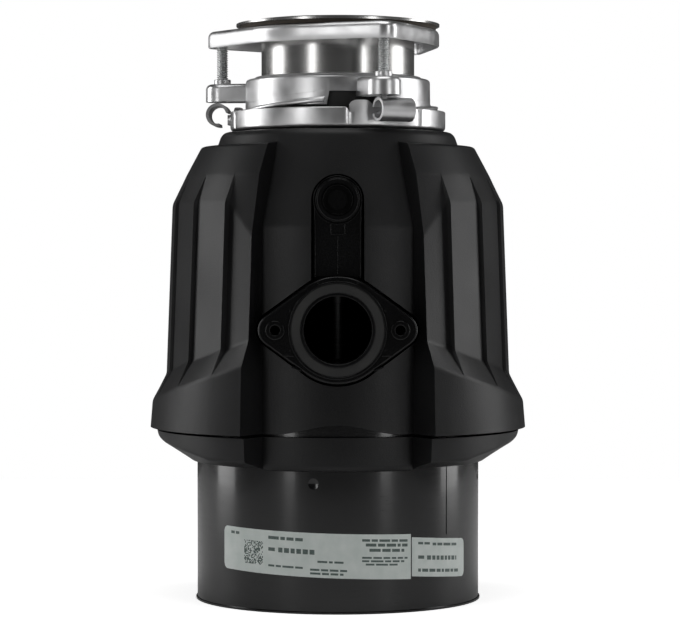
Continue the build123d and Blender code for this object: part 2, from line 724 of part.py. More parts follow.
def make_drain_chamber():
    floor = CAN_HEIGHT + CHAMBER_FLOOR_RISE
    hub_foot = CAN_HEIGHT - HUB_DROP
    bearing_r = SHAFT_R + BEARING_WALL
    hub_r = bearing_r + HUB_WALL
    wall_in = chamber_r - CHAMBER_WALL
    ear_spots = [(-OUTLET_SCREW_SPACING / 2, 0), (OUTLET_SCREW_SPACING / 2, 0)]
    with BuildPart() as chamber:
        with BuildSketch(Plane.XZ):
            with BuildLine():
                Polyline((bearing_r, hub_foot), (hub_r, hub_foot), (hub_r, floor),
                         (wall_in, floor), (wall_in, CAN_HEIGHT), (CAN_R, CAN_HEIGHT),
                         (CAN_R, CAN_HEIGHT + CHAMBER_FLOOR_T), (chamber_r, CAN_HEIGHT + CHAMBER_FLOOR_T),
                         (chamber_r, chamber_top - FLANGE_T), (flange_r, chamber_top - FLANGE_T),
                         (flange_r, chamber_top), (wall_in, chamber_top),
                         (wall_in, floor + CHAMBER_FLOOR_T), (bearing_r, floor + CHAMBER_FLOOR_T),
                         close=True)
            make_face()
        revolve(axis=Axis.Z)
        with BuildSketch(outlet_plane(wall_in)):
            Circle(OUTLET_R + OUTLET_WALL)
        extrude(amount=outlet_face - OUTLET_PLATE_T - wall_in)
        with BuildSketch(Plane.XY.offset(chamber_top)):
            Circle(flange_r + SEAT_GAP)
        extrude(amount=OUTLET_R, mode=Mode.SUBTRACT)
        with BuildSketch(outlet_plane(flange_r + SEAT_GAP)):
            with Locations(*ear_spots):
                Circle(OUTLET_EAR_R - 2)
        extrude(amount=outlet_face - OUTLET_PLATE_T - flange_r)
        with BuildSketch(outlet_plane(outlet_face - OUTLET_PLATE_T)):
            add(outlet_outline(0))
        extrude(amount=OUTLET_PLATE_T)
        fillet(chamber.faces().sort_by(Axis.Y)[0].outer_wire().edges(), radius=OUTLET_PLATE_ROUND)
        with BuildSketch(outlet_plane(outlet_face)):
            with Locations(*ear_spots):
                Circle(OUTLET_COLLAR_R)
        extrude(amount=OUTLET_COLLAR_H)
        with BuildSketch(Plane.XY.offset(floor + CHAMBER_FLOOR_T)):
            Circle(wall_in)
        extrude(amount=chamber_top - floor, mode=Mode.SUBTRACT)
        with BuildSketch(outlet_plane(wall_in - 4)):
            Circle(OUTLET_R)
        extrude(amount=outlet_face, mode=Mode.SUBTRACT)
        with BuildSketch(outlet_plane(outlet_face - SEAL_SEAT_DEPTH)):
            Circle(SEAL_SEAT_R)
        extrude(amount=SEAL_SEAT_DEPTH, mode=Mode.SUBTRACT)
        with BuildSketch(outlet_plane(outlet_face - OUTLET_SCREW_DEPTH)):
            with Locations(*ear_spots):
                Circle(OUTLET_SCREW_R)
        extrude(amount=OUTLET_SCREW_DEPTH + OUTLET_COLLAR_H, mode=Mode.SUBTRACT)
        with BuildSketch(Plane.XY.offset(CAN_HEIGHT)):
            for azimuth in BOLT_AZIMUTHS:
                with Locations(spot(azimuth, through_bolt_at)):
                    Circle(THROUGH_BOLT_R + RUNNING_GAP)
        extrude(amount=CHAMBER_FLOOR_T, mode=Mode.SUBTRACT)
        with BuildSketch(Plane.XY.offset(chamber_top - FLANGE_T)):
            for azimuth in container_bolt_azimuths():
                with Locations(spot(azimuth, container_bolt_at)):
                    Circle(CONTAINER_BOLT_R)
        extrude(amount=FLANGE_T, mode=Mode.SUBTRACT)
    save(chamber.part, "drain_chamber")


def make_outlet_seal():
    with BuildPart() as seal:
        with BuildSketch(outlet_plane(outlet_face - SEAL_SEAT_DEPTH)):
            Circle(SEAL_SEAT_R)
            Circle(OUTLET_R, mode=Mode.SUBTRACT)
        extrude(amount=SEAL_SEAT_DEPTH)
        with BuildSketch(outlet_plane(outlet_face)):
            Circle(SEAL_RIM_R)
            Circle(OUTLET_R + SEAL_WALL, mode=Mode.SUBTRACT)
        extrude(amount=SEAL_RIM_H)
        fillet(seal.faces().sort_by(Axis.Y)[0].edges(), radius=SEAL_ROUND)
    save(seal.part, "outlet_seal")


def container_bolt_azimuths():
    return [(0.5 + index) * 360 / CONTAINER_BOLTS for index in range(CONTAINER_BOLTS)]


def make_seals():
    foot = CAN_HEIGHT - HUB_DROP + BEARING_LENGTH + 1
    top = CAN_HEIGHT + CHAMBER_FLOOR_RISE + CHAMBER_FLOOR_T
    with BuildPart() as seal:
        with BuildSketch(Plane.XY.offset(foot)):
            Circle(SHAFT_R + BEARING_WALL)
            Circle(SHAFT_R + RUNNING_GAP, mode=Mode.SUBTRACT)
        extrude(amount=top - foot)
    save(seal.part, "shaft_seal")
    with BuildPart() as slinger:
        with BuildSketch(Plane.XY.offset(top + MOVING_GAP)):
            Circle(SLINGER_R)
            Circle(SHAFT_R, mode=Mode.SUBTRACT)
        extrude(amount=SLINGER_T)
        with BuildSketch(Plane.XY.offset(top + MOVING_GAP + SLINGER_T)):
            Circle(SHAFT_R + BEARING_WALL)
            Circle(SHAFT_R, mode=Mode.SUBTRACT)
        extrude(amount=SLINGER_T)
    save(slinger.part, "slinger")
    with BuildPart() as gasket:
        with BuildSketch(Plane.XY.offset(chamber_top)):
            Circle(flange_r - 1)
            Circle(shredder_r + SEAT_GAP, mode=Mode.SUBTRACT)
            for azimuth in container_bolt_azimuths():
                with Locations(spot(azimuth, container_bolt_at)):
                    Circle(CONTAINER_BOLT_R, mode=Mode.SUBTRACT)
        extrude(amount=GASKET_T)
    save(gasket.part, "container_gasket")


# ---- Grinding container ----

def front_boss_outline(margin):
    """The strip seen below the inlet: straight sides and a round top about the inlet."""
    rise = inlet_z - (outlet_z + OUTLET_PLATE_R)
    half = FRONT_BOSS_HALF + margin
    with BuildSketch() as outline:
        Circle(half)
        with Locations((0, -rise / 2)):
            Rectangle(2 * half, rise)
    return outline.sketch


def inlet_plane(distance):
    """A plane across the inlet, facing the front, at a distance from the axis."""
    return Plane(origin=(0, -distance, inlet_z), x_dir=(1, 0, 0), z_dir=(0, -1, 0))


def make_grinding_container():
    collar_top = ring_z + NECK_COLLAR_T
    seat_r = shredder_r + SEAT_GAP
    with BuildPart() as container:
        with BuildSketch(Plane.XZ):
            with BuildLine():
                Polyline((seat_r, container_z), (flange_r, container_z), (flange_r, container_z + FLANGE_T),
                         (barrel_r, container_z + FLANGE_T), (barrel_r, barrel_top),
                         (neck_collar_r, shoulder_top), (neck_collar_r, collar_top),
                         (neck_outer, collar_top), (neck_outer, neck_top), (NECK_R, neck_top),
                         (NECK_R, shoulder_top - NECK_WALL), (seat_r, barrel_top - NECK_WALL), close=True)
            make_face()
        revolve(axis=Axis.Z)
        with BuildSketch(inlet_plane(shredder_r + 1)):
            add(front_boss_outline(0))
        extrude(amount=front_boss_face - shredder_r - 1)
        with BuildSketch(inlet_plane(shredder_r + 1)):
            Circle(INLET_R)
        extrude(amount=inlet_face - shredder_r - 1)
        fillet(container.edges().filter_by(GeomType.CIRCLE).sort_by(Axis.Y)[0], radius=INLET_ROUND)
        with BuildSketch(Plane.XY.offset(container_z + FLANGE_T)):
            with Locations((0, -(barrel_r + front_boss_face) / 2)):
                Rectangle(2 * (FRONT_BOSS_HALF - FRONT_BOSS_WALL), front_boss_face - barrel_r - 2)
        extrude(amount=inlet_z - container_z - FLANGE_T - INLET_R - FRONT_BOSS_WALL, mode=Mode.SUBTRACT)
        with BuildSketch(inlet_plane(front_boss_face - FRONT_SEAM_W)):
            with Locations((0, -INLET_RISE / 2 - INLET_R / 2 - 3)):
                Rectangle(FRONT_SEAM_W, INLET_RISE - INLET_R - 6)
        extrude(amount=FRONT_SEAM_W, mode=Mode.SUBTRACT)
        with BuildSketch(inlet_plane(shredder_r - 2)):
            Circle(INLET_BORE_R)
        extrude(amount=inlet_face - shredder_r + 2, mode=Mode.SUBTRACT)
        with BuildSketch(Plane.XY.offset(container_z)):
            for azimuth in container_bolt_azimuths():
                with Locations(spot(azimuth, container_bolt_at)):
                    Circle(CONTAINER_BOLT_R)
        extrude(amount=FLANGE_T, mode=Mode.SUBTRACT)
    save(container.part, "grinding_container")


def make_inlet_plug():
    with BuildPart() as plug:
        with BuildSketch(inlet_plane(inlet_face - INLET_PLUG_DEPTH - INLET_PLUG_T)):
            Circle(INLET_BORE_R)
        extrude(amount=INLET_PLUG_T)
        with BuildSketch(inlet_plane(inlet_face - INLET_PLUG_DEPTH)):
            Circle(INLET_PLUG_BOSS_R)
        extrude(amount=INLET_PLUG_T)
    save(plug.part, "inlet_plug")


def make_container_bolts():
    with BuildPart() as bolts:
        for azimuth in container_bolt_azimuths():
            x, y = spot(azimuth, container_bolt_at)
            foot = chamber_top - FLANGE_T
            head = container_z + FLANGE_T
            with BuildSketch(Plane((x, y, foot))):
                Circle(CONTAINER_BOLT_R)
            extrude(amount=head - foot)
            with BuildSketch(Plane((x, y, head))):
                RegularPolygon(CONTAINER_HEAD_AF / 2, 6, rotation=azimuth, major_radius=False)
            extrude(amount=NUT_H)
    save(bolts.part, "container_bolts")


# ---- Grinding parts ----

def make_shredder_ring():
    with BuildPart() as ring:
        with BuildSketch(Plane.XY.offset(chamber_top)):
            Circle(shredder_r)
            Circle(shredder_r - RING_T, mode=Mode.SUBTRACT)
        extrude(amount=RING_HEIGHT)
        with BuildSketch(Plane.XY.offset(chamber_top)):
            with PolarLocations(shredder_r, RING_NOTCHES):
                Rectangle(4 * RING_T, RING_NOTCH_W)
        extrude(amount=RING_NOTCH_H, mode=Mode.SUBTRACT)
    save(ring.part, "shredder_ring")


def make_turntable():
    top = turntable_z + TURNTABLE_T
    bore_r = SHAFT_R - SHAFT_STEP
    with BuildPart() as turntable:
        with BuildSketch(Plane.XY.offset(turntable_z)):
            Circle(turntable_r)
            Circle(bore_r, mode=Mode.SUBTRACT)
            hole_at = turntable_r - 3 * TURNTABLE_HOLE_R
            with PolarLocations(hole_at, TURNTABLE_HOLES, start_angle=TURNTABLE_HOLE_TURN):
                Circle(TURNTABLE_HOLE_R, mode=Mode.SUBTRACT)
            with PolarLocations(lug_at, 2):
                Circle(RIVET_R, mode=Mode.SUBTRACT)
        extrude(amount=TURNTABLE_T)
    save(turntable.part, "turntable")
    lug_foot = top + MOVING_GAP
    rivet_top = lug_foot + LUG_T + MOVING_GAP
    with BuildPart() as rivets:
        with BuildSketch(Plane.XY.offset(turntable_z)):
            with PolarLocations(lug_at, 2):
                Circle(RIVET_R)
        extrude(amount=rivet_top - turntable_z)
        for foot in (turntable_z - RIVET_HEAD_H, rivet_top):
            with BuildSketch(Plane.XY.offset(foot)):
                with PolarLocations(lug_at, 2):
                    Circle(RIVET_HEAD_R)
            extrude(amount=RIVET_HEAD_H)
    save(rivets.part, "impeller_rivets")
    for name, side in (("impeller_right", 1), ("impeller_left", -1)):
        with BuildPart() as impeller:
            with BuildSketch(Plane.XY.offset(lug_foot)):
                with Locations((side * lug_at, side * LUG_LENGTH / 6)):
                    RectangleRounded(LUG_WIDTH, LUG_LENGTH, 4)
                with Locations((side * lug_at, 0)):
                    Circle(RIVET_R + RUNNING_GAP, mode=Mode.SUBTRACT)
            extrude(amount=LUG_T)
            with BuildSketch(Plane.XY.offset(lug_foot + LUG_T)):
                with Locations((side * lug_at, side * (LUG_LENGTH * 2 / 3 - LUG_FIN_T / 2 - 2))):
                    RectangleRounded(LUG_WIDTH - 2, LUG_FIN_T, 1)
            extrude(amount=LUG_FIN_H)
        save(impeller.part, name)
    with BuildPart() as washer:
        with BuildSketch(Plane.XY.offset(top)):
            Circle(WASHER_R)
            Circle(bore_r, mode=Mode.SUBTRACT)
        extrude(amount=WASHER_T)
    save(washer.part, "turntable_washer")
    with BuildPart() as nut:
        with BuildSketch(Plane.XY.offset(top + WASHER_T)):
            RegularPolygon(ROTOR_NUT_AF / 2, 6, major_radius=False)
            Circle(bore_r, mode=Mode.SUBTRACT)
        extrude(amount=ROTOR_NUT_H)
    save(nut.part, "turntable_nut")


# ---- Trim shells ----

def fairing_outline(reach, step, stepped):
    """Plan of one side fairing: flat panels, each one's front edge standing out past the last.

    reach is the side panel's distance from the axis, and step runs from 0, a plain round plan,
    to 1. The cavity inside isn't stepped, so that the wall behind each step stays whole.
    """
    corners = (FAIRING_EDGE,) + FAIRING_STEPS + (90.0,)
    depth = step + STEP_FADE * (1 - step)
    front = PANEL_STEP / 2 if stepped else -PANEL_STEP / 2
    points = [spot(FAIRING_EDGE, shell_inner_core)]
    for index, inset in enumerate(PANEL_INSETS):
        points.append(spot(corners[index], reach - (inset - front) * depth))
        points.append(spot(corners[index + 1], reach - (inset + PANEL_STEP / 2) * depth))
    side = (reach, 0)
    mirrored = [(x, -y) for x, y in reversed(points[:-1])]
    return points[:-1] + [side] + mirrored


def fairing_levels(inset):
    """Height, reach and step of each level of the fairing, from the seam to the ledge."""
    return [(seam_z, CAN_R + SKIRT_REACH - inset, 0.0),
            (CAN_HEIGHT + FLARE_END_RISE, CAN_R + FLARE_END_REACH - inset, 0.0),
            (CAN_HEIGHT + FLARE_START_RISE, CAN_R + FLARE_START_REACH - inset, 1.0),
            (deck_z - KNEE_DROP, CAN_R + KNEE_REACH - inset, 1.0),
            (deck_z - ROOF_APEX_DROP, deck_r + ROOF_APEX_REACH - inset, 0.0),
            (deck_z - FAIRING_TOP_DROP - FAIRING_CORNER_DROP - inset,
             deck_r + FAIRING_TOP_REACH + FAIRING_CORNER_REACH - inset, 0.0),
            (deck_z - FAIRING_TOP_DROP - inset, deck_r + FAIRING_TOP_REACH - inset, 0.0)]


def make_fairing(levels, inset):
    """Both side fairings, or with an inset the cavities inside them."""
    with BuildPart() as fairing:
        for height, reach, step in levels:
            with BuildSketch(Plane.XY.offset(height)):
                with BuildLine():
                    Polyline(*fairing_outline(reach, step, inset == 0), close=True)
                make_face()
        loft(ruled=True)
        if inset:
            edge_x, edge_y = spot(FAIRING_EDGE, 1.0)
            for way in (1, -1):
                cut = Plane(origin=(0, 0, 0), x_dir=(edge_x, way * edge_y, 0),
                            z_dir=(-way * edge_y, edge_x, 0))
                split(bisect_by=cut.offset(inset), keep=Keep.TOP)
        mirror(about=Plane.YZ)
    return fairing.part


def core_profile(inset, foot):
    """Half profile of the shell without its fairings."""
    top = deck_z - inset
    return [(0, foot), (panel_r - inset, foot), (panel_r - inset, deck_z - PANEL_SLOPE_H),
            (deck_r + DECK_EDGE - inset, top - DECK_EDGE), (deck_r - inset, top), (0, top)]


def revolved(points):
    with BuildPart() as body:
        with BuildSketch(Plane.XZ):
            with BuildLine():
                Polyline(*points, close=True)
            make_face()
        revolve(axis=Axis.Z)
    return body.part


def make_upper_shell():
    with BuildPart() as shell:
        add(revolved(core_profile(0, seam_z)))
        add(make_fairing(fairing_levels(0), 0))
        add(revolved(core_profile(SHELL_WALL, seam_z)), mode=Mode.SUBTRACT)
        add(make_fairing(fairing_levels(SHELL_WALL), SHELL_WALL), mode=Mode.SUBTRACT)
        with BuildSketch(Plane.XY.offset(seam_z)):
            Circle(neck_collar_r + MOVING_GAP)
        extrude(amount=deck_z, mode=Mode.SUBTRACT)
        with BuildSketch(inlet_plane(panel_r / 2)):
            add(front_boss_outline(WINDOW_GAP))
        extrude(amount=panel_r, mode=Mode.SUBTRACT)
        with BuildSketch(outlet_plane(panel_r / 2)):
            add(outlet_outline(WINDOW_GAP))
        extrude(amount=panel_r, mode=Mode.SUBTRACT)
    save(shell.part, "upper_shell")


def lower_levels(inset):
    """Height, reach and step of the lower shell's fairing, from its foot to the seam."""
    top = seam_z - SEAM_GAP
    return [(shell_foot + LOWER_FOOT_RISE + inset, CAN_R + LOWER_FOOT_REACH + SHELL_WALL, 0.0),
            (top - LOWER_EDGE_H, CAN_R + LOWER_TOP_REACH - inset, 0.0),
            (top + inset, CAN_R + LOWER_TOP_REACH - inset, 0.0)]


def make_lower_shell():
    top = seam_z - SEAM_GAP
    with BuildPart() as shell:
        with BuildSketch(Plane.XY.offset(shell_foot)):
            Circle(panel_r)
        extrude(amount=top - shell_foot)
        add(make_fairing(lower_levels(0), 0))
        with BuildSketch(Plane.XY.offset(shell_foot + SHELL_WALL)):
            Circle(panel_r - SHELL_WALL)
        extrude(amount=top, mode=Mode.SUBTRACT)
        add(make_fairing(lower_levels(SHELL_WALL), SHELL_WALL), mode=Mode.SUBTRACT)
        with BuildSketch(Plane.XY.offset(shell_foot - 1)):
            Circle(CAN_R + FOOT_GAP)
        extrude(amount=top, mode=Mode.SUBTRACT)
        with BuildSketch(Plane.XY.offset(top)):
            Circle(2 * CAN_R)
        extrude(amount=SHELL_WALL * 2, mode=Mode.SUBTRACT)
    save(shell.part, "lower_shell")


def make_insulation():
    """Foam jacket round the container, open at the front for the inlet."""
    gap = 2 * MOVING_GAP
    foot = container_z + FLANGE_T + NUT_H + gap
    with BuildPart() as foam:
        with BuildSketch(Plane.XY.offset(foot)):
            Circle(barrel_r + gap + FOAM_T)
            Circle(barrel_r + gap, mode=Mode.SUBTRACT)
        extrude(amount=deck_z - PANEL_SLOPE_H - foot)
        with BuildSketch(inlet_plane(0)):
            add(front_boss_outline(2 * WINDOW_GAP))
        extrude(amount=panel_r, mode=Mode.SUBTRACT)
    save(foam.part, "sound_insulation")


# ---- Lower mounting ring ----

def make_lower_mounting_ring():
    with BuildPart() as ring:
        with BuildSketch(Plane.XZ):
            inner = neck_collar_r + MOVING_GAP
            with BuildLine():
                Polyline((inner, ring_z), (lock_ring_r - 1, ring_z), (lock_ring_r, ring_z + 1),
                         (lock_ring_r, ring_z + LOCK_RING_H),
                         (lock_ring_r - LOCK_RING_WALL, ring_z + LOCK_RING_H),
                         (lock_ring_r - LOCK_RING_WALL, ring_z + LOCK_RING_WALL),
                         (inner, ring_z + LOCK_RING_WALL), close=True)
            make_face()
        revolve(axis=Axis.Z)
        finger_z = ring_z + LOCK_RING_H - FINGER_T
        for azimuth in SCREW_AZIMUTHS:
            middle = azimuth + LOOP_OFFSET + FINGER_OFFSET
            with BuildSketch(Plane.XY.offset(finger_z)):
                Circle(lock_ring_r)
                Circle(lock_ring_r - FINGER_REACH, mode=Mode.SUBTRACT)
                with BuildLine():
                    Polyline(*sector(middle - FINGER_SPAN / 2, middle + FINGER_SPAN / 2, 2 * cup_r),
                             close=True)
                make_face(mode=Mode.INTERSECT)
            extrude(amount=FINGER_T)
            with BuildSketch(Plane.XY.offset(finger_z)):
                Circle(lock_ring_r)
                Circle(lock_ring_r - LOCK_RING_WALL, mode=Mode.SUBTRACT)
                with BuildLine():
                    Polyline(*sector(middle - FINGER_SPAN / 2, middle + FINGER_SPAN / 2, 2 * cup_r),
                             close=True)
                make_face(mode=Mode.INTERSECT)
            extrude(amount=FINGER_T + FINGER_HUMP)
            x, y = spot(azimuth + LOOP_OFFSET, loop_at)
            loop_plane = Plane(origin=(x, y, ring_z + LOOP_Z),
                               x_dir=(x / loop_at, y / loop_at, 0), z_dir=(-y / loop_at, x / loop_at, 0))
            with BuildSketch(loop_plane.offset(-LOOP_LENGTH / 2)):
                Circle(LOOP_R)
                with Locations((-(loop_at - lock_ring_r + 1) / 2 - 1, 0)):
                    Rectangle(loop_at - lock_ring_r + 1, LOOP_STEM_T)
                Circle(LOOP_R - LOOP_WALL, mode=Mode.SUBTRACT)
            extrude(amount=LOOP_LENGTH)
        with BuildSketch(Plane.XY.offset(ring_z + LOCK_RING_WALL)):
            Circle(lock_ring_r - LOCK_RING_WALL)
        extrude(amount=LOCK_RING_H - FINGER_T - LOCK_RING_WALL, mode=Mode.SUBTRACT)
    save(ring.part, "lower_mounting_ring")


# ---- Rubber pieces in the neck ----

def make_cushion_mount():
    """Rubber boot over the neck, with a lip that the mounting ring presses on."""
    foot = ring_z + NECK_COLLAR_T
    outer = cup_in_r - MOVING_GAP
    top = cup_top - CUP_WALL - lower_travel - 2 * MOVING_GAP
    lip_in = max(sleeve_r + MOVING_GAP, outer - CUSHION_LIP_WALL)
    with BuildPart() as cushion:
        with BuildSketch(Plane.XZ):
            with BuildLine():
                Polyline((neck_outer, foot), (outer, foot), (outer, top), (lip_in, top),
                         (lip_in, neck_top), (neck_outer, neck_top), close=True)
            make_face()
        revolve(axis=Axis.Z)
        fillet(cushion.edges().sort_by(Axis.Z)[-1], radius=1.0)
    save(cushion.part, "cushion_mount")


def make_splash_baffle():
    outer = NECK_R
    top = neck_top
    with BuildPart() as baffle:
        with BuildSketch(Plane.XZ):
            with BuildLine():
                Polyline((outer - BAFFLE_WALL, top), (outer, top), (outer, top - BAFFLE_DEPTH),
                         (BAFFLE_MOUTH_R, top - BAFFLE_DEPTH - BAFFLE_SAG),
                         (BAFFLE_MOUTH_R, top - BAFFLE_DEPTH - BAFFLE_SAG + BAFFLE_WALL),
                         (outer - BAFFLE_WALL, top - BAFFLE_DEPTH + BAFFLE_WALL), close=True)
            make_face()
        revolve(axis=Axis.Z)
        with BuildSketch(Plane.XY.offset(top - BAFFLE_DEPTH - BAFFLE_SAG)):
            for index in range(BAFFLE_FLAPS):
                angle = 360 / BAFFLE_FLAPS * index
                reach = outer - BAFFLE_WALL - 4
                with Locations(turned(angle, reach / 2)):
                    Rectangle(reach, BAFFLE_SLIT)
        extrude(amount=BAFFLE_DEPTH, mode=Mode.SUBTRACT)
    save(baffle.part, "splash_baffle")


# ---- Mounting ring, backup flange, screws and sink flange ----

def lobe_outline(body_r, lobe_at, lobe_r):
    """A round plate drawn out to a lobe at each mounting screw."""
    with BuildSketch() as outline:
        Circle(body_r)
        for azimuth in SCREW_AZIMUTHS:
            add(one_lobe(azimuth, body_r, lobe_at, lobe_r))
    return outline.sketch


def one_lobe(azimuth, body_r, lobe_at, lobe_r):
    with BuildSketch() as lobe:
        Circle(body_r)
        with Locations(spot(azimuth, lobe_at)):
            Circle(lobe_r)
        make_hull()
    return lobe.sketch


def ear_outline(margin):
    with BuildSketch() as outline:
        for azimuth in SCREW_AZIMUTHS:
            add(one_lobe(azimuth, EAR_ROOT_R, screw_at, EAR_R - margin))
    return outline.sketch


def make_mounting_ring():
    ear_top = cup_top - EAR_DROP
    ramp_foot = ring_z + RAMP_START_RISE
    with BuildPart() as ring:
        with BuildSketch(Plane.XY.offset(ear_top - EAR_DEPTH)):
            add(ear_outline(0))
        extrude(amount=EAR_DEPTH)
        fillet(ring.faces().sort_by(Axis.Z)[-1].outer_wire().edges(), radius=EAR_ROUND)
        with BuildSketch(Plane.XY.offset(ear_top - EAR_DEPTH)):
            add(ear_outline(EAR_T))
        extrude(amount=EAR_DEPTH - EAR_T, mode=Mode.SUBTRACT)
        with BuildSketch(Plane.XZ):
            with BuildLine():
                Polyline((sleeve_r + MOVING_GAP, cup_top - CUP_WALL),
                         (sleeve_r + MOVING_GAP, cup_top + BEAD_H),
                         (bead_r - BEAD_BEVEL, cup_top + BEAD_H), (bead_r, cup_top),
                         (cup_r - CUP_SHOULDER, cup_top), (cup_r, cup_top - CUP_SHOULDER),
                         (cup_r, cup_foot()), (cup_in_r, cup_foot()), (cup_in_r, cup_top - CUP_WALL),
                         close=True)
            make_face()
        revolve(axis=Axis.Z)
        for azimuth in SCREW_AZIMUTHS:
            with BuildSketch(Plane.XY.offset(ear_top)):
                with Locations(spot(azimuth, screw_at)):
                    Circle(COLLAR_R)
            extrude(amount=COLLAR_H)
            with BuildSketch(Plane.XY.offset(ear_top - EAR_DEPTH)):
                with Locations(spot(azimuth, screw_at)):
                    Circle(SCREW_R + RUNNING_GAP)
            extrude(amount=EAR_DEPTH + COLLAR_H, mode=Mode.SUBTRACT)
        with BuildSketch(Plane.XY.offset(cup_foot())):
            Circle(cup_in_r)
        extrude(amount=cup_top - CUP_WALL - cup_foot(), mode=Mode.SUBTRACT)
        for azimuth in SCREW_AZIMUTHS:
            for index in range(RAMP_STEPS):
                step = RAMP_SPAN / RAMP_STEPS
                start = azimuth + RAMP_START_OFFSET + index * step
                rise = RAMP_CLIMB * radians((index + 0.5) * step)
                with BuildSketch(Plane.XY.offset(ramp_foot + rise)):
                    Circle(ramp_r)
                    Circle(cup_in_r, mode=Mode.SUBTRACT)
                    with BuildLine():
                        Polyline(*sector(start, start + step + RAMP_LAP, 2 * cup_r), close=True)
                    make_face(mode=Mode.INTERSECT)
                extrude(amount=RAMP_T)
                with BuildSketch(Plane.XY.offset(ramp_foot + rise)):
                    Circle(cup_r)
                    Circle(cup_in_r, mode=Mode.SUBTRACT)
                    with BuildLine():
                        Polyline(*sector(start, start + step + RAMP_LAP, 2 * cup_r), close=True)
                    make_face(mode=Mode.INTERSECT)
                extrude(amount=cup_foot() + 1 - ramp_foot - rise)
    save(ring.part, "mounting_ring")


def cup_foot():
    """Foot of the cup's plain wall, level with the ramps' high ends."""
    return ring_z + RAMP_START_RISE + RAMP_CLIMB * radians(RAMP_SPAN)


def make_snap_ring():
    with BuildPart() as snap:
        with BuildSketch(Plane.XZ):
            with Locations((sleeve_r - SNAP_GROOVE + SNAP_WIRE_R, snap_z())):
                Circle(SNAP_WIRE_R)
        revolve(axis=Axis.Z)
        with BuildSketch(Plane.XY.offset(snap_z() - 2 * SNAP_WIRE_R)):
            with BuildLine():
                Polyline(*sector(SNAP_GAP_AZIMUTH, SNAP_GAP_AZIMUTH + SNAP_GAP_SPAN, 2 * cup_r), close=True)
            make_face()
        extrude(amount=4 * SNAP_WIRE_R, mode=Mode.SUBTRACT)
    save(snap.part, "snap_ring")


def snap_z():
    """The snap ring lies against the underside of the mounting ring."""
    return cup_top - CUP_WALL - SNAP_WIRE_R


def make_sink_flange():
    inner = sleeve_r - SLEEVE_WALL
    foot = cup_top - SLEEVE_BELOW_CUP
    with BuildPart() as flange:
        with BuildSketch(Plane.XZ):
            with BuildLine():
                Polyline((inner, foot), (sleeve_r, foot), (sleeve_r, snap_z() - SNAP_WIRE_R),
                         (sleeve_r - SNAP_GROOVE, snap_z() - SNAP_WIRE_R),
                         (sleeve_r - SNAP_GROOVE, snap_z() + SNAP_WIRE_R),
                         (sleeve_r, snap_z() + SNAP_WIRE_R), (sleeve_r, rim_z - RIM_ROLL),
                         (sleeve_r + RIM_ROLL, rim_z), (sink_flange_r, rim_z),
                         (sink_flange_r, rim_z + RIM_T), (sleeve_r + RIM_SLOPE, rim_z + RIM_CROWN),
                         (sleeve_r + RIM_ROLL, rim_z + RIM_CROWN - SLEEVE_WALL / 2),
                         (inner, rim_z - RIM_ROLL), close=True)
            make_face()
        revolve(axis=Axis.Z)
    save(flange.part, "sink_flange")
    with BuildPart() as gasket:
        with BuildSketch(Plane.XY.offset(plate_top)):
            Circle(sink_flange_r - SINK_GASKET_INSET)
            Circle(sleeve_r + RIM_ROLL + MOVING_GAP, mode=Mode.SUBTRACT)
        extrude(amount=SINK_GASKET_T)
    save(gasket.part, "sink_gasket")


def make_backup_flange():
    with BuildPart() as plate:
        with BuildSketch(Plane.XY.offset(plate_top - PLATE_DEPTH)):
            add(lobe_outline(plate_r, screw_at - 1, PLATE_LOBE_R))
        extrude(amount=PLATE_DEPTH)
        fillet(plate.faces().sort_by(Axis.Z)[-1].outer_wire().edges(), radius=PLATE_T)
        with BuildSketch(Plane.XY.offset(plate_top - PLATE_DEPTH)):
            add(lobe_outline(plate_r - PLATE_T, screw_at - 1, PLATE_LOBE_R - PLATE_T))
        extrude(amount=PLATE_DEPTH - PLATE_T, mode=Mode.SUBTRACT)
        with BuildSketch(Plane.XY.offset(plate_top - PLATE_T)):
            Circle(sleeve_r + RIM_ROLL + MOVING_GAP)
        extrude(amount=PLATE_T, mode=Mode.SUBTRACT)
    save(plate.part, "backup_flange")


def make_mounting_screws():
    foot = cup_top - EAR_DROP - SCREW_FOOT
    top = plate_top - PLATE_T - MOVING_GAP
    for name, azimuth in zip(("mounting_screw_front", "mounting_screw_right", "mounting_screw_left"),
                             SCREW_AZIMUTHS):
        with BuildPart() as screw:
            with BuildSketch(Plane.XY.offset(foot)):
                with Locations(spot(azimuth, screw_at)):
                    Circle(SCREW_R)
            extrude(amount=top - foot)
            chamfer(screw.edges().filter_by(GeomType.CIRCLE), length=SCREW_CHAMFER)
            with BuildSketch(Plane.XY.offset(foot)):
                with Locations(turned(azimuth, screw_at)):
                    Rectangle(3 * SCREW_R, SCREW_SLOT_W)
            extrude(amount=SCREW_SLOT_D, mode=Mode.SUBTRACT)
        save(screw.part, name)


make_motor_can()
make_label("main_label", MAIN_LABEL_ARC, MAIN_LABEL_Z)
make_label("side_label", SIDE_LABEL_ARC, SIDE_LABEL_Z)
make_base_cover()
make_base_screws()
make_terminal_cover()
make_lower_end_frame()
make_bearing("lower_bearing", END_FRAME_Z)
make_bearing("upper_bearing", CAN_HEIGHT - HUB_DROP)
make_rotor_shaft()
make_rotor_core()
make_thrust_washers()
make_stator()
make_through_bolts()
make_electrics()
make_drain_chamber()
make_outlet_seal()
make_seals()
make_grinding_container()
make_inlet_plug()
make_container_bolts()
make_shredder_ring()
make_turntable()
make_upper_shell()
make_lower_shell()
make_insulation()
make_lower_mounting_ring()
make_cushion_mount()
make_splash_baffle()
make_mounting_ring()
make_snap_ring()
make_sink_flange()
make_backup_flange()
make_mounting_screws()
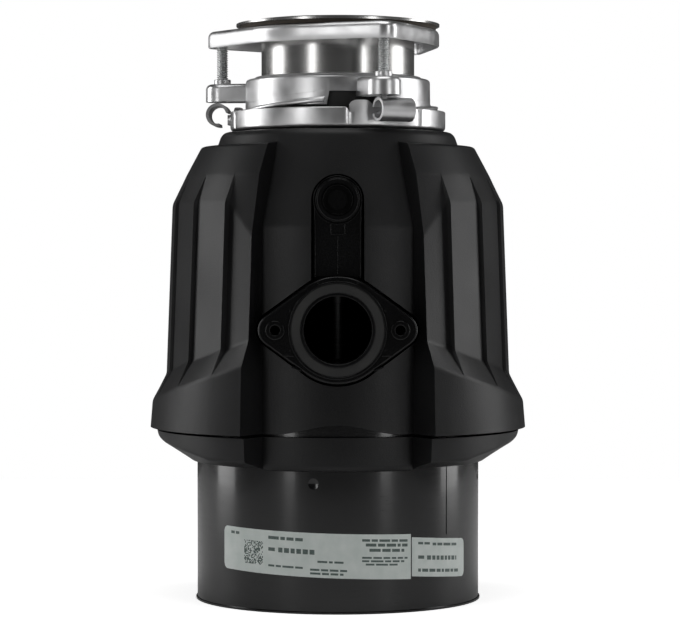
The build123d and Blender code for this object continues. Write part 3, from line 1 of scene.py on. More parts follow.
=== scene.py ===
# %% [markdown]
# # A kitchen garbage disposal
#
# The design comes in as a fixed frame: every piece of the machine is already there at its real size.
# This file gives the pieces their finishes, and where the plain design is too simple for the eye,
# it makes a finer surface that stands for the plain one. Everything is in metres, +Z is up, and the
# discharge outlet faces -Y. Azimuths are angles about +Z, from the front (-Y) towards +X.

# %% Load the frame
import bmesh
import bpy
import json
import numpy as np
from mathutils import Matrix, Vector


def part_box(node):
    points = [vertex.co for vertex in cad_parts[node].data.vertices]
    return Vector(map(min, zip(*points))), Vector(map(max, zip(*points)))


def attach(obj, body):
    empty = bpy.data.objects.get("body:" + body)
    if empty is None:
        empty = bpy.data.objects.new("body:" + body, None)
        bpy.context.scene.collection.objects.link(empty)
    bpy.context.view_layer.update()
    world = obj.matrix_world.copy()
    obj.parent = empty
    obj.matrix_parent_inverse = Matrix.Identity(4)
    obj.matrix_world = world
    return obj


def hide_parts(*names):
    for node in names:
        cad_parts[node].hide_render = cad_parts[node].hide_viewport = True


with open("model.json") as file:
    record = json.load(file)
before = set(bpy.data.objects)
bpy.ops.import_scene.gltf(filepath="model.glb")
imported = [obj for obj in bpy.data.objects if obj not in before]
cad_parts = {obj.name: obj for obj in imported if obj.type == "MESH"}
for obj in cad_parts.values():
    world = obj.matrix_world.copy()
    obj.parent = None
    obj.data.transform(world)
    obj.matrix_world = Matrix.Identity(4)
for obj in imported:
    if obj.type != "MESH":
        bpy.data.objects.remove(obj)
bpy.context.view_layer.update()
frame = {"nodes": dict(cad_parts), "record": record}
MM = 0.001
TURN = 2 * np.pi
print("pieces in the frame:", len(frame["nodes"]))

# %% [markdown]
# ## Levels read from the frame
#
# A finer piece has to sit exactly where the plain one does. Its heights and radii are read from the
# boxes of the frame's own pieces, so nothing is placed by eye.

# %% Levels
def top(node):
    """Height of a node's top, in millimetres."""
    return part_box(node)[1][2] / MM


def foot(node):
    """Height of a node's foot, in millimetres."""
    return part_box(node)[0][2] / MM


def half_width(node):
    """Half a node's size along X, in millimetres."""
    low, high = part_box(node)
    return (high[0] - low[0]) / 2 / MM


deck_z = top("upper_shell")
seam_z = foot("upper_shell")
lower_foot = foot("lower_shell")
ring_z = foot("lower_mounting_ring")
plate_top = top("backup_flange")
CAN_LIP = 0.8
can_r = half_width("motor_can") - CAN_LIP
skirt_r = half_width("upper_shell")
outlet_z = (top("outlet_seal") + foot("outlet_seal")) / 2
inlet_z = (top("inlet_plug") + foot("inlet_plug")) / 2
print(f"deck {deck_z:.1f}, seam {seam_z:.1f}, outlet {outlet_z:.1f}, inlet {inlet_z:.1f} mm")

# %% [markdown]
# ## Surfaces as whole arrays
#
# A pressed or moulded piece is a smooth surface, so each one here is a grid of points worked out at
# once: rows run along a profile and columns run round the axis. A cube or a cylinder with bevels
# would be quicker, but it can't carry the panels, ramps and rolled edges of this machine.

# %% Grid helpers
def new_piece(name, verts, faces, body, finish, sharp=35.0):
    """A mesh object from vertex and quad arrays in millimetres, riding on a body."""
    mesh = bpy.data.meshes.new(name)
    mesh.from_pydata(np.asarray(verts, float) * MM, [], np.asarray(faces).tolist())
    mesh.validate()
    mesh.shade_smooth()
    mesh.set_sharp_from_angle(angle=np.radians(sharp))
    mesh.materials.append(finish)
    piece = bpy.data.objects.new(name, mesh)
    bpy.context.scene.collection.objects.link(piece)
    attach(piece, body)
    return piece


def grid_faces(rows, cols, wrap_rows=False, wrap_cols=False):
    """Quads that join a grid of points, closed round either way where it wraps."""
    i = np.arange(rows if wrap_rows else rows - 1)
    j = np.arange(cols if wrap_cols else cols - 1)
    i, j = np.meshgrid(i, j, indexing="ij")
    a = i * cols + j
    b = i * cols + (j + 1) % cols
    c = ((i + 1) % rows) * cols + (j + 1) % cols
    d = ((i + 1) % rows) * cols + j
    return np.stack([a, b, c, d], -1).reshape(-1, 4)


def looped(points):
    """Vertices and faces of a grid that closes both ways, as a ring does."""
    return points.reshape(-1, 3), grid_faces(*points.shape[:2], wrap_rows=True, wrap_cols=True).tolist()


def capped(points):
    """Vertices and faces of a tube: its section closes along the rows, and a face shuts each end."""
    rows, cols = points.shape[:2]
    first = (np.arange(rows)[::-1] * cols).tolist()
    last = (np.arange(rows) * cols + cols - 1).tolist()
    return points.reshape(-1, 3), grid_faces(rows, cols, wrap_rows=True).tolist() + [first, last]


def polar(azimuth, radius, height):
    """Points from azimuth in degrees, radius and height, which may be single values or arrays."""
    azimuth, radius, height = np.broadcast_arrays(azimuth, radius, height)
    a = np.radians(azimuth)
    return np.stack([radius * np.sin(a), -radius * np.cos(a), height], -1)


def turned_piece(name, radii, heights, azimuths, body, finish, sharp=35.0):
    """A closed profile carried round the axis: row i is profile point i, column j an azimuth.

    radii and heights are grids, or one value a row where the profile is the same all round.
    """
    azimuths = np.asarray(azimuths, float)
    radii = np.broadcast_to(np.asarray(radii, float).reshape(len(radii), -1), (len(radii), len(azimuths)))
    heights = np.broadcast_to(np.asarray(heights, float).reshape(len(heights), -1), radii.shape)
    points = polar(azimuths, radii, heights)
    faces = grid_faces(*radii.shape, wrap_rows=True, wrap_cols=True)
    return new_piece(name, points.reshape(-1, 3), outward(points, faces), body, finish, sharp)


def outward(points, faces):
    """Faces turned so that the closed surface encloses a positive volume."""
    p = np.asarray(points, float).reshape(-1, 3)
    a, b, c, d = (p[faces[:, k]] for k in range(4))
    volume = np.einsum("ij,ij->i", a, np.cross(b, c)) + np.einsum("ij,ij->i", a, np.cross(c, d))
    return faces if volume.sum() > 0 else faces[:, ::-1]


def rounded(points, radius, steps=5):
    """A closed outline with each corner replaced by an arc-like curve of about that radius."""
    p = np.asarray(points, float)
    before = np.roll(p, 1, 0) - p
    after = np.roll(p, -1, 0) - p
    len_b = np.linalg.norm(before, axis=1, keepdims=True)
    len_a = np.linalg.norm(after, axis=1, keepdims=True)
    reach = np.minimum(np.minimum(len_b, len_a) * 0.45, np.asarray(radius, float).reshape(-1, 1))
    start = p + before / len_b * reach
    end = p + after / len_a * reach
    t = np.linspace(0, 1, steps).reshape(1, -1, 1)
    curve = (1 - t) ** 2 * start[:, None] + 2 * t * (1 - t) * p[:, None] + t**2 * end[:, None]
    return curve.reshape(-1, 2)


def even_azimuths(count):
    """Azimuths evenly round the axis."""
    return np.arange(count) * 360 / count

# %% [markdown]
# ## Camera, floor and light
#
# The machine is seen from the outlet's side, level with the middle of its grinding chamber and from
# far away, so its upright edges stay almost parallel. Tall soft lights stand at its sides and strips
# in front: dark plastic only shows its shape by what it reflects, and side lights leave the middle
# dark and draw every panel edge. The floor is plain and pale, and its glow lights nothing.

# %% Camera
VIEW_DISTANCE = 1.510
VIEW_HEIGHT = 0.1914
AIM = Vector((0.0012, 0.0, 0.1589))
camera_data = bpy.data.cameras.new("camera")
camera_data.sensor_width = 36.0
camera_data.lens = 141.7
camera_data.clip_end = 50.0
camera = bpy.data.objects.new("camera", camera_data)
camera.location = (AIM.x, -VIEW_DISTANCE, VIEW_HEIGHT)
camera.rotation_euler = (AIM - camera.location).to_track_quat("-Z", "Y").to_euler()
bpy.context.scene.collection.objects.link(camera)
bpy.context.scene.camera = camera
bpy.context.scene.view_settings.view_transform = "Standard"
print("camera", tuple(round(v, 4) for v in camera.location))


# %% Lights
def soft_light(name, place, aim, width, height, watts):
    """A rectangular soft light at a place, turned towards a point."""
    data = bpy.data.lights.new(name, "AREA")
    data.shape = "RECTANGLE"
    data.size = width
    data.size_y = height
    data.energy = watts
    lamp = bpy.data.objects.new(name, data)
    lamp.location = place
    lamp.rotation_euler = (Vector(aim) - Vector(place)).to_track_quat("-Z", "Y").to_euler()
    bpy.context.scene.collection.objects.link(lamp)


MIDDLE = (0, 0, 0.17)
for side in (-1, 1):
    soft_light("strip_softbox", (side * 0.80, -1.02, 0.30), MIDDLE, 0.20, 1.2, 2.4)
    soft_light("side_softbox", (side * 1.10, 0.20, 0.36), MIDDLE, 0.45, 1.1, 5.0)
soft_light("top_softbox", (0.0, -0.25, 1.25), (0, 0, 0.25), 0.9, 0.7, 4.0)

# %% World and floor
world = bpy.data.worlds.new("studio")
world.use_nodes = True
bpy.context.scene.world = world
sky = world.node_tree.nodes["Background"]
sky.inputs["Color"].default_value = (1, 1, 1, 1)
backdrop = world.node_tree.nodes.new("ShaderNodeBackground")
backdrop.inputs["Color"].default_value = (1, 1, 1, 1)
rays = world.node_tree.nodes.new("ShaderNodeLightPath")
choose = world.node_tree.nodes.new("ShaderNodeMixShader")
out = world.node_tree.nodes["World Output"]
sky.inputs["Strength"].default_value = 0.05
backdrop.inputs["Strength"].default_value = 1.0
world.node_tree.links.new(rays.outputs["Is Camera Ray"], choose.inputs["Fac"])
world.node_tree.links.new(sky.outputs["Background"], choose.inputs[1])
world.node_tree.links.new(backdrop.outputs["Background"], choose.inputs[2])
world.node_tree.links.new(choose.outputs["Shader"], out.inputs["Surface"])

FLOOR_HALF = 0.8
floor_mesh = bpy.data.meshes.new("floor")
floor_mesh.from_pydata([(-FLOOR_HALF, -FLOOR_HALF, 0), (FLOOR_HALF, -FLOOR_HALF, 0),
                        (FLOOR_HALF, FLOOR_HALF, 0), (-FLOOR_HALF, FLOOR_HALF, 0)], [], [(0, 1, 2, 3)])
floor = bpy.data.objects.new("floor", floor_mesh)
bpy.context.scene.collection.objects.link(floor)

# %% [markdown]
# ## Finishes
#
# Each finish is worked out in nodes from the piece's own coordinates, at its real scale: the tooth of
# moulded plastic is under half a millimetre, brushing on stainless steel is a few hundredths wide, and
# zinc plate has clouds a few millimetres across. One helper lays down what they share: a colour that
# wanders, a roughness that wanders, and a fine grain in the bump.


# %% Node helper
class Nodes:
    """A short way to write a material's node tree."""

    def __init__(self, name):
        self.material = bpy.data.materials.new(name)
        self.material.use_nodes = True
        self.tree = self.material.node_tree
        self.shader = self.tree.nodes["Principled BSDF"]
        self.place = self.tree.nodes.new("ShaderNodeTexCoord").outputs["Object"]

    def link(self, source, target):
        self.tree.links.new(source, target)

    def mapped(self, scale, source=None):
        """Coordinates stretched by a scale along each axis."""
        node = self.tree.nodes.new("ShaderNodeMapping")
        node.inputs["Scale"].default_value = scale
        self.link(source or self.place, node.inputs["Vector"])
        return node.outputs["Vector"]

    def noise(self, scale, detail=2.0, source=None, rough=0.5):
        """A cloudy value; scale is cycles a metre, so 1000 is a millimetre."""
        node = self.tree.nodes.new("ShaderNodeTexNoise")
        node.inputs["Scale"].default_value = scale
        node.inputs["Detail"].default_value = detail
        node.inputs["Roughness"].default_value = rough
        self.link(source or self.place, node.inputs["Vector"])
        return node.outputs["Fac"]

    def cells(self, scale, source=None):
        """Distance to the nearest of many scattered points."""
        node = self.tree.nodes.new("ShaderNodeTexVoronoi")
        node.inputs["Scale"].default_value = scale
        self.link(source or self.place, node.inputs["Vector"])
        return node.outputs["Distance"]

    def spread(self, value, low, high, frm=0.3, to=0.7):
        """A value moved from one range to another."""
        node = self.tree.nodes.new("ShaderNodeMapRange")
        for key, number in (("From Min", frm), ("From Max", to), ("To Min", low), ("To Max", high)):
            node.inputs[key].default_value = number
        self.link(value, node.inputs["Value"])
        return node.outputs["Result"]

    def math(self, operation, first, second):
        node = self.tree.nodes.new("ShaderNodeMath")
        node.operation = operation
        for socket, value in zip(node.inputs, (first, second)):
            if isinstance(value, (int, float)):
                socket.default_value = value
            else:
                self.link(value, socket)
        return node.outputs["Value"]

    def blend(self, factor, first, second):
        """A colour between two colours."""
        node = self.tree.nodes.new("ShaderNodeMix")
        node.data_type = "RGBA"
        self.link(factor, node.inputs["Factor"])
        for socket, value in ((node.inputs[6], first), (node.inputs[7], second)):
            if isinstance(value, tuple):
                socket.default_value = (*value, 1)
            else:
                self.link(value, socket)
        return node.outputs[2]

    def bump(self, height, strength, distance, below=None):
        """A relief of that many metres; below is a bump that it lies on."""
        node = self.tree.nodes.new("ShaderNodeBump")
        node.inputs["Strength"].default_value = strength
        node.inputs["Distance"].default_value = distance
        self.link(height, node.inputs["Height"])
        if below is not None:
            self.link(below, node.inputs["Normal"])
        return node.outputs["Normal"]

    def done(self, colour, roughness, normal=None, **sockets):
        """Plug in the colour, roughness and relief, and set the plain sockets."""
        if isinstance(colour, tuple):
            self.shader.inputs["Base Color"].default_value = (*colour, 1)
        else:
            self.link(colour, self.shader.inputs["Base Color"])
        self.link(roughness, self.shader.inputs["Roughness"])
        if normal is not None:
            self.link(normal, self.shader.inputs["Normal"])
        for key, value in sockets.items():
            self.shader.inputs[key.replace("_", " ")].default_value = value
        return self.material

    def rings(self, along, around):
        """Coordinates in which grain runs round the Z axis: radius and height, no angle."""
        split = self.tree.nodes.new("ShaderNodeSeparateXYZ")
        self.link(self.place, split.inputs[0])
        square = self.math("ADD", self.math("MULTIPLY", split.outputs[0], split.outputs[0]),
                           self.math("MULTIPLY", split.outputs[1], split.outputs[1]))
        radius = self.math("POWER", square, 0.5)
        join = self.tree.nodes.new("ShaderNodeCombineXYZ")
        self.link(self.math("MULTIPLY", radius, around), join.inputs[0])
        self.link(self.math("MULTIPLY", split.outputs[2], along), join.inputs[1])
        angle = self.math("ARCTAN2", split.outputs[1], split.outputs[0])
        self.link(self.math("MULTIPLY", angle, 0.35), join.inputs[2])
        return join.outputs[0]


# %% Metal finishes
def brushed_stainless():
    """Steel brushed round its axis: fine rings of light and dark, and a few longer scratches."""
    n = Nodes("brushed_stainless")
    rings = n.rings(2600.0, 2600.0)
    fine = n.noise(1.0, 3.0, rings, 0.6)
    clouds = n.noise(38.0, 3.0)
    colour = n.blend(n.spread(fine, 0.0, 1.0), (0.60, 0.595, 0.585), (0.66, 0.655, 0.645))
    rough = n.math("ADD", n.spread(fine, 0.0, 0.02), n.spread(clouds, 0.19, 0.23))
    return n.done(colour, rough, n.bump(fine, 0.015, 0.00001), Metallic=1.0, Anisotropic=0.3)


def zinc_plate(name="zinc_plate", low=0.27, high=0.36, tint=(0.83, 0.83, 0.835)):
    """Bright zinc over pressed steel: cloudy gloss, shallow press marks and fine pits."""
    n = Nodes(name)
    clouds = n.noise(130.0, 4.0)
    broad = n.noise(28.0, 2.0)
    pits = n.cells(900.0)
    dark = tuple(0.93 * c for c in tint)
    colour = n.blend(n.spread(clouds, 0.0, 1.0), dark, tint)
    rough = n.math("ADD", n.spread(clouds, low, high), n.spread(broad, 0.0, 0.08))
    waves = n.bump(broad, 0.12, 0.0003)
    normal = n.bump(n.spread(pits, 0.0, 1.0, 0.0, 0.25), 0.12, 0.00003, waves)
    return n.done(colour, rough, normal, Metallic=1.0)


def turned_steel():
    """Machined steel with tool rings round the axis."""
    n = Nodes("turned_steel")
    rings = n.noise(1.0, 2.0, n.rings(1400.0, 1400.0))
    colour = n.blend(n.spread(rings, 0.0, 1.0), (0.16, 0.16, 0.165), (0.26, 0.26, 0.26))
    return n.done(colour, n.spread(rings, 0.30, 0.46), n.bump(rings, 0.3, 0.00003), Metallic=1.0)


def cast_aluminium():
    """Die-cast aluminium: a grey skin with flow marks and pores."""
    n = Nodes("cast_aluminium")
    flow = n.noise(55.0, 5.0, None, 0.65)
    pores = n.cells(650.0)
    colour = n.blend(n.spread(flow, 0.0, 1.0), (0.34, 0.34, 0.35), (0.52, 0.52, 0.53))
    normal = n.bump(n.spread(pores, 0.0, 1.0, 0.0, 0.3), 0.35, 0.00008)
    return n.done(colour, n.spread(flow, 0.38, 0.6), normal, Metallic=1.0)


def sintered_bronze():
    """Oil-filled bronze: warm, grainy and a little dark where the oil sits."""
    n = Nodes("sintered_bronze")
    grain = n.cells(2200.0)
    oil = n.noise(260.0, 3.0)
    colour = n.blend(n.spread(oil, 0.0, 1.0), (0.30, 0.17, 0.07), (0.55, 0.36, 0.17))
    return n.done(colour, n.spread(oil, 0.28, 0.5), n.bump(grain, 0.3, 0.00005), Metallic=1.0)


def laminated_steel():
    """A pack of half-millimetre sheets: thin level lines up the side, bluish from annealing."""
    n = Nodes("laminated_steel")
    sheets = n.tree.nodes.new("ShaderNodeTexWave")
    sheets.bands_direction = "Z"
    sheets.inputs["Scale"].default_value = 320.0
    n.link(n.place, sheets.inputs["Vector"])
    tone = n.noise(80.0, 3.0)
    colour = n.blend(n.spread(tone, 0.0, 1.0), (0.16, 0.17, 0.20), (0.30, 0.30, 0.31))
    normal = n.bump(sheets.outputs["Fac"], 0.6, 0.0001)
    return n.done(colour, n.spread(tone, 0.35, 0.55), normal, Metallic=1.0)


def magnet_wire():
    """Enamelled copper wire, wound round the axis: rounded ridges about half a millimetre apart."""
    n = Nodes("magnet_wire")
    turns = n.noise(1.0, 1.0, n.rings(1900.0, 1900.0))
    varnish = n.noise(90.0, 3.0)
    colour = n.blend(n.spread(turns, 0.0, 1.0), (0.28, 0.09, 0.03), (0.62, 0.26, 0.10))
    normal = n.bump(turns, 0.8, 0.00025)
    return n.done(colour, n.spread(varnish, 0.22, 0.42), normal, Metallic=0.85, Coat_Weight=0.5)


# %% Plastic, paint and rubber finishes
def textured_plastic(name, tone, grain, depth, low, high, specular=0.5):
    """Moulded black plastic: a spark-eroded tooth, broad flow clouds and fine dust."""
    n = Nodes(name)
    tooth = n.noise(grain, 3.0, None, 0.7)
    pits = n.cells(grain * 0.8)
    flow = n.noise(22.0, 4.0)
    dust = n.spread(n.noise(5200.0, 1.0), 0.0, 1.0, 0.72, 0.80)
    light = tuple(2.1 * c for c in tone)
    colour = n.blend(n.spread(flow, 0.0, 1.0), tone, light)
    speck = n.blend(n.math("MULTIPLY", dust, 0.12), colour, (0.12, 0.12, 0.118))
    rough = n.math("ADD", n.spread(flow, low, high), n.spread(tooth, -0.04, 0.04))
    normal = n.bump(pits, 0.35, depth, n.bump(tooth, 0.5, depth))
    return n.done(speck, rough, normal, Specular_IOR_Level=specular)


def gloss_paint():
    """Black enamel on a rolled steel can: slight orange peel under a clear gloss, with rub marks."""
    n = Nodes("gloss_can_paint")
    peel = n.noise(420.0, 2.0)
    sag = n.noise(34.0, 2.0)
    rub = n.noise(1.0, 4.0, n.mapped((60, 60, 900)), 0.7)
    colour = n.blend(n.spread(sag, 0.0, 1.0), (0.0016, 0.0016, 0.0018), (0.0040, 0.0040, 0.0045))
    rough = n.math("ADD", n.spread(rub, 0.14, 0.24), n.spread(sag, 0.0, 0.05))
    normal = n.bump(peel, 0.10, 0.00005, n.bump(sag, 0.2, 0.00025))
    return n.done(colour, rough, normal, Coat_Weight=0.35, Coat_Roughness=0.08)


def black_rubber():
    """Moulded rubber: matt, with a bloom of paler dust and a fine tooth."""
    n = Nodes("black_rubber")
    bloom = n.noise(60.0, 5.0)
    tooth = n.noise(1800.0, 2.0)
    colour = n.blend(n.spread(bloom, 0.0, 1.0), (0.010, 0.010, 0.010), (0.030, 0.030, 0.029))
    return n.done(colour, n.spread(bloom, 0.62, 0.82), n.bump(tooth, 0.4, 0.00006), Sheen_Weight=0.12)


def label_film():
    """Printed polyester label: pale grey-green film, slightly uneven where it is stuck down."""
    n = Nodes("label_film")
    lift = n.noise(140.0, 3.0)
    fibre = n.noise(2600.0, 2.0)
    colour = n.blend(n.spread(lift, 0.0, 1.0), (0.60, 0.66, 0.63), (0.70, 0.745, 0.72))
    normal = n.bump(lift, 0.25, 0.00012, n.bump(fibre, 0.1, 0.00002))
    return n.done(colour, n.spread(lift, 0.34, 0.48), normal)


def label_ink():
    """Green-black thermal print, a little thin in places."""
    n = Nodes("label_ink")
    thin = n.noise(1500.0, 3.0)
    colour = n.blend(n.spread(thin, 0.0, 1.0), (0.055, 0.085, 0.078), (0.13, 0.17, 0.155))
    return n.done(colour, n.spread(thin, 0.42, 0.55))


def plain_moulding(name, dark, light, low, high, metallic=0.0, grain=700.0):
    """A small moulded or painted piece: two close tones, an uneven gloss and a fine grain."""
    n = Nodes(name)
    tone = n.noise(120.0, 4.0)
    fine = n.noise(grain, 3.0)
    colour = n.blend(n.spread(tone, 0.0, 1.0), dark, light)
    normal = n.bump(fine, 0.3, 0.00006)
    return n.done(colour, n.spread(tone, low, high), normal, Metallic=metallic)


def pale_floor():
    """A seamless pale sheet with the faintest mottle, whose glow the camera alone sees."""
    n = Nodes("pale_floor")
    mottle = n.noise(9.0, 3.0)
    colour = n.blend(n.spread(mottle, 0.0, 1.0), (0.93, 0.93, 0.93), (0.95, 0.95, 0.95))
    seen = n.tree.nodes.new("ShaderNodeLightPath").outputs["Is Camera Ray"]
    n.link(n.math("MULTIPLY", seen, 0.75), n.shader.inputs["Emission Strength"])
    return n.done(colour, n.spread(mottle, 0.75, 0.85), None, Emission_Color=(1, 1, 1, 1))


finishes = {
    "stainless": brushed_stainless(),
    "zinc": zinc_plate(),
    "bright_zinc": zinc_plate("bright_zinc_screws", 0.20, 0.30, (0.70, 0.71, 0.71)),
    "steel": turned_steel(),
    "cast_alu": cast_aluminium(),
    "bronze": sintered_bronze(),
    "lamination": laminated_steel(),
    "copper": magnet_wire(),
    "black_shell": textured_plastic("black_shell", (0.0032, 0.0032, 0.0035), 1500.0, 0.00009,
                                    0.40, 0.48, 0.38),
    "container_black": textured_plastic("satin_container", (0.0016, 0.0016, 0.0018), 2400.0, 0.00003,
                                        0.20, 0.28, 0.34),
    "can_paint": gloss_paint(),
    "rubber_black": black_rubber(),
    "label_paper": label_film(),
    "ink": label_ink(),
    "liner_paper": plain_moulding("slot_paper", (0.50, 0.42, 0.24), (0.66, 0.58, 0.38), 0.6, 0.8),
    "red_plastic": plain_moulding("red_button", (0.42, 0.012, 0.010), (0.55, 0.025, 0.02), 0.22, 0.32),
    "green_steel": plain_moulding("green_screw", (0.02, 0.20, 0.05), (0.04, 0.30, 0.08), 0.3, 0.45, 0.6),
    "phenolic": plain_moulding("phenolic", (0.02, 0.014, 0.010), (0.045, 0.032, 0.024), 0.35, 0.5),
    "foam": plain_moulding("foam_jacket", (0.10, 0.10, 0.105), (0.17, 0.17, 0.175), 0.85, 0.95,
                           grain=1100.0),
    "fibre": plain_moulding("fibre_gasket", (0.035, 0.028, 0.022), (0.07, 0.058, 0.045), 0.8, 0.92,
                            grain=1600.0),
}
floor.data.materials.append(pale_floor())
print("finishes:", len(finishes))

# %% Finishes on the frame's own pieces
for entry in frame["record"]["subparts"]:
    piece = frame["nodes"][entry["node"]]
    piece.data.materials.clear()
    piece.data.materials.append(finishes[entry["material_slot"]])

# %% [markdown]
# ## Upper trim shell
#
# The largest moulding is a round core with a stepped fairing on each side. Every fairing is four flat
# panels whose front edges stand a few millimetres proud of the panel before, so the steps catch the
# light as long lines. It could be made from bevelled boxes, but the panels taper and melt into a
# round skirt. Here one grid of profile corners is worked out for every azimuth, the corners are
# rounded with short curves, and the two windows are cut through last.

# %% Shell values
SHELL_WALL = 2.6
NECK_HOLE_R = 53.85
DECK_EDGE_R = 63.6
CORE_R = 83.8
FAIRING_EDGE = 29.3
PANEL_EDGES = np.array([29.3, 40.5, 57.0, 73.5, 90.0])
PANEL_FRONT = np.array([95.8, 95.6, 95.9, 96.2])     # distance from the axis at each front edge
PANEL_REAR = np.array([92.4, 93.7, 94.4, 95.6])
PANEL_DATUM = 96.2
EDGE_SOFTNESS = 0.35                                 # degrees over which an upright edge turns
WAVE_RISE = 5.1
WAVE_HALF = 24.0
DECK_ROUND = 2.2                                     # deck edge's slope, both in and down
CORE_SHOULDER_Z = 207.3                              # the core is upright below and leans in above
CORE_LEVELS = (112, 140)                             # corners on the core's upright part
FLARE_END_Z, FLARE_END_RISE = 111.0, 22.0            # the flare above the skirt, and its climb to the front
FLARE_START_Z, FLARE_START_RISE = 126.0, 21.0
KNEE_DROP, FIRST_PANEL_DROP = 40.2, 18.0
FLARE_R, PANEL_FOOT_R, KNEE_R = 104.3, 97.3, 93.8
SHOULDER_R = np.array([85.5, 78.3, 76.6])
CORE_LEAN = 51.8                                     # height over which it leans in to the deck
SHOULDER_Z = np.array([236.5, 250.0, 253.2])         # levels that the core and the fairings share
CORE_APEX_Z = 255.0
FAIRING_APEX_Z = 253.3


# %% Panel outlines
def folded(azimuth):
    """Azimuth carried into the first quarter, because both fairings are alike front and back."""
    a = np.abs((azimuth + 180) % 360 - 180)
    return np.minimum(a, 180 - a)


def panel_reach(azimuth):
    """Distance of the flat panels from the axis.

    Between angles a1 and a2 a chord runs from radius r1 to r2, so its radius at a is
    r1 r2 sin(a2 - a1) / (r1 sin(a - a1) + r2 sin(a2 - a)).
    """
    a = folded(azimuth)
    k = np.clip(np.searchsorted(PANEL_EDGES, a, side="right") - 1, 0, 3)
    first, last = np.radians(PANEL_EDGES[k]), np.radians(PANEL_EDGES[k + 1])
    near, far, here = PANEL_FRONT[k], PANEL_REAR[k], np.radians(a)
    return near * far * np.sin(last - first) / (near * np.sin(here - first) + far * np.sin(last - here))


def softened(values, fine_step, width):
    """Each value averaged with its neighbours over a width, round the closed circle."""
    half = max(1, int(round(width / fine_step / 2)))
    total = sum(np.roll(values, shift, -1) for shift in range(-half, half + 1))
    return total / (2 * half + 1)


def profile_curves(radii, heights, rounds, steps=5):
    """Open profiles with rounded corners: row i is a corner, column j an azimuth.

    Every inner corner becomes a quadratic curve from a point before it to a point after it.
    """
    p = np.stack([radii, heights], -1)
    back = p[:-2] - p[1:-1]
    ahead = p[2:] - p[1:-1]
    len_b = np.linalg.norm(back, axis=-1, keepdims=True)
    len_a = np.linalg.norm(ahead, axis=-1, keepdims=True)
    reach = np.minimum(np.minimum(len_b, len_a) * 0.48, np.asarray(rounds).reshape(-1, 1, 1))
    start = p[1:-1] + back / len_b * reach
    end = p[1:-1] + ahead / len_a * reach
    t = np.linspace(0, 1, steps).reshape(1, -1, 1, 1)
    curve = (1 - t) ** 2 * start[:, None] + 2 * t * (1 - t) * p[1:-1][:, None] + t**2 * end[:, None]
    rows = np.concatenate([p[:1], curve.reshape(-1, p.shape[1], 2), p[-1:]])
    return rows[..., 0], rows[..., 1]


def clustered_azimuths(edges, spacing=2.0):
    """Azimuths round the axis, close together at each upright edge and its mirror images."""
    near = np.concatenate([np.asarray(edges)[:, None] + np.linspace(-0.75, 0.75, 9)]).ravel()
    quarter = np.unique(np.round(np.concatenate([np.arange(0, 90 + spacing, spacing), near]), 3))
    quarter = quarter[(quarter >= 0) & (quarter <= 90)]
    every = np.concatenate([quarter, 180 - quarter, 180 + quarter, 360 - quarter]) % 360
    return np.unique(np.round(every, 3))


# %% Upper shell surface
FINE = 0.05
fine_azimuths = np.arange(0, 360, FINE)


def upper_shell_corners(azimuth):
    """Radius and height of the shell's eleven profile corners at each azimuth.

    A fairing flares to a round skirt below and leans in to an apex above; the front and rear of the
    shell are the round core alone.
    """
    a = folded(azimuth)
    side = (a > FAIRING_EDGE).astype(float)
    inset = PANEL_DATUM - panel_reach(azimuth)
    spread = np.clip((1 - np.sin(np.radians(a))) / (1 - np.sin(np.radians(FAIRING_EDGE))), 0, 1) ** 0.75
    flare_end = FLARE_END_Z + FLARE_END_RISE * spread
    flare_start = FLARE_START_Z + FLARE_START_RISE * spread
    first = np.clip((PANEL_EDGES[1] - a) / (PANEL_EDGES[1] - FAIRING_EDGE), 0, 1)
    knee = deck_z - KNEE_DROP - FIRST_PANEL_DROP * first
    wave = WAVE_RISE * 0.5 * (1 + np.cos(np.pi * np.clip(a / WAVE_HALF, 0, 1)))
    slope = (CORE_R - DECK_EDGE_R - DECK_ROUND) / CORE_LEAN
    one = np.ones_like(a)
    shared = [z * one for z in SHOULDER_Z]
    upright = [z * one for z in (*CORE_LEVELS, CORE_SHOULDER_Z)]
    core_z = np.stack([seam_z + wave, *upright, *shared, CORE_APEX_Z * one])
    core_r = np.stack([CORE_R * one] * 4 + [(CORE_R - slope * (z - CORE_SHOULDER_Z)) * one for z in
                                            (*SHOULDER_Z, CORE_APEX_Z)])
    side_z = np.stack([seam_z * one, flare_end, flare_start, knee, *shared, FAIRING_APEX_Z * one])
    side_r = np.stack([skirt_r * one, FLARE_R * one, PANEL_FOOT_R - inset, KNEE_R - inset,
                       *(r * one for r in SHOULDER_R),
                       (CORE_R - slope * (FAIRING_APEX_Z - CORE_SHOULDER_Z)) * one])
    radii = core_r + (side_r - core_r) * side
    heights = core_z + (side_z - core_z) * side
    close_r = np.stack([(DECK_EDGE_R + DECK_ROUND) * one, DECK_EDGE_R * one, NECK_HOLE_R * one])
    close_z = np.stack([(deck_z - DECK_ROUND) * one, deck_z * one, deck_z * one])
    return np.concatenate([radii, close_r]), np.concatenate([heights, close_z])


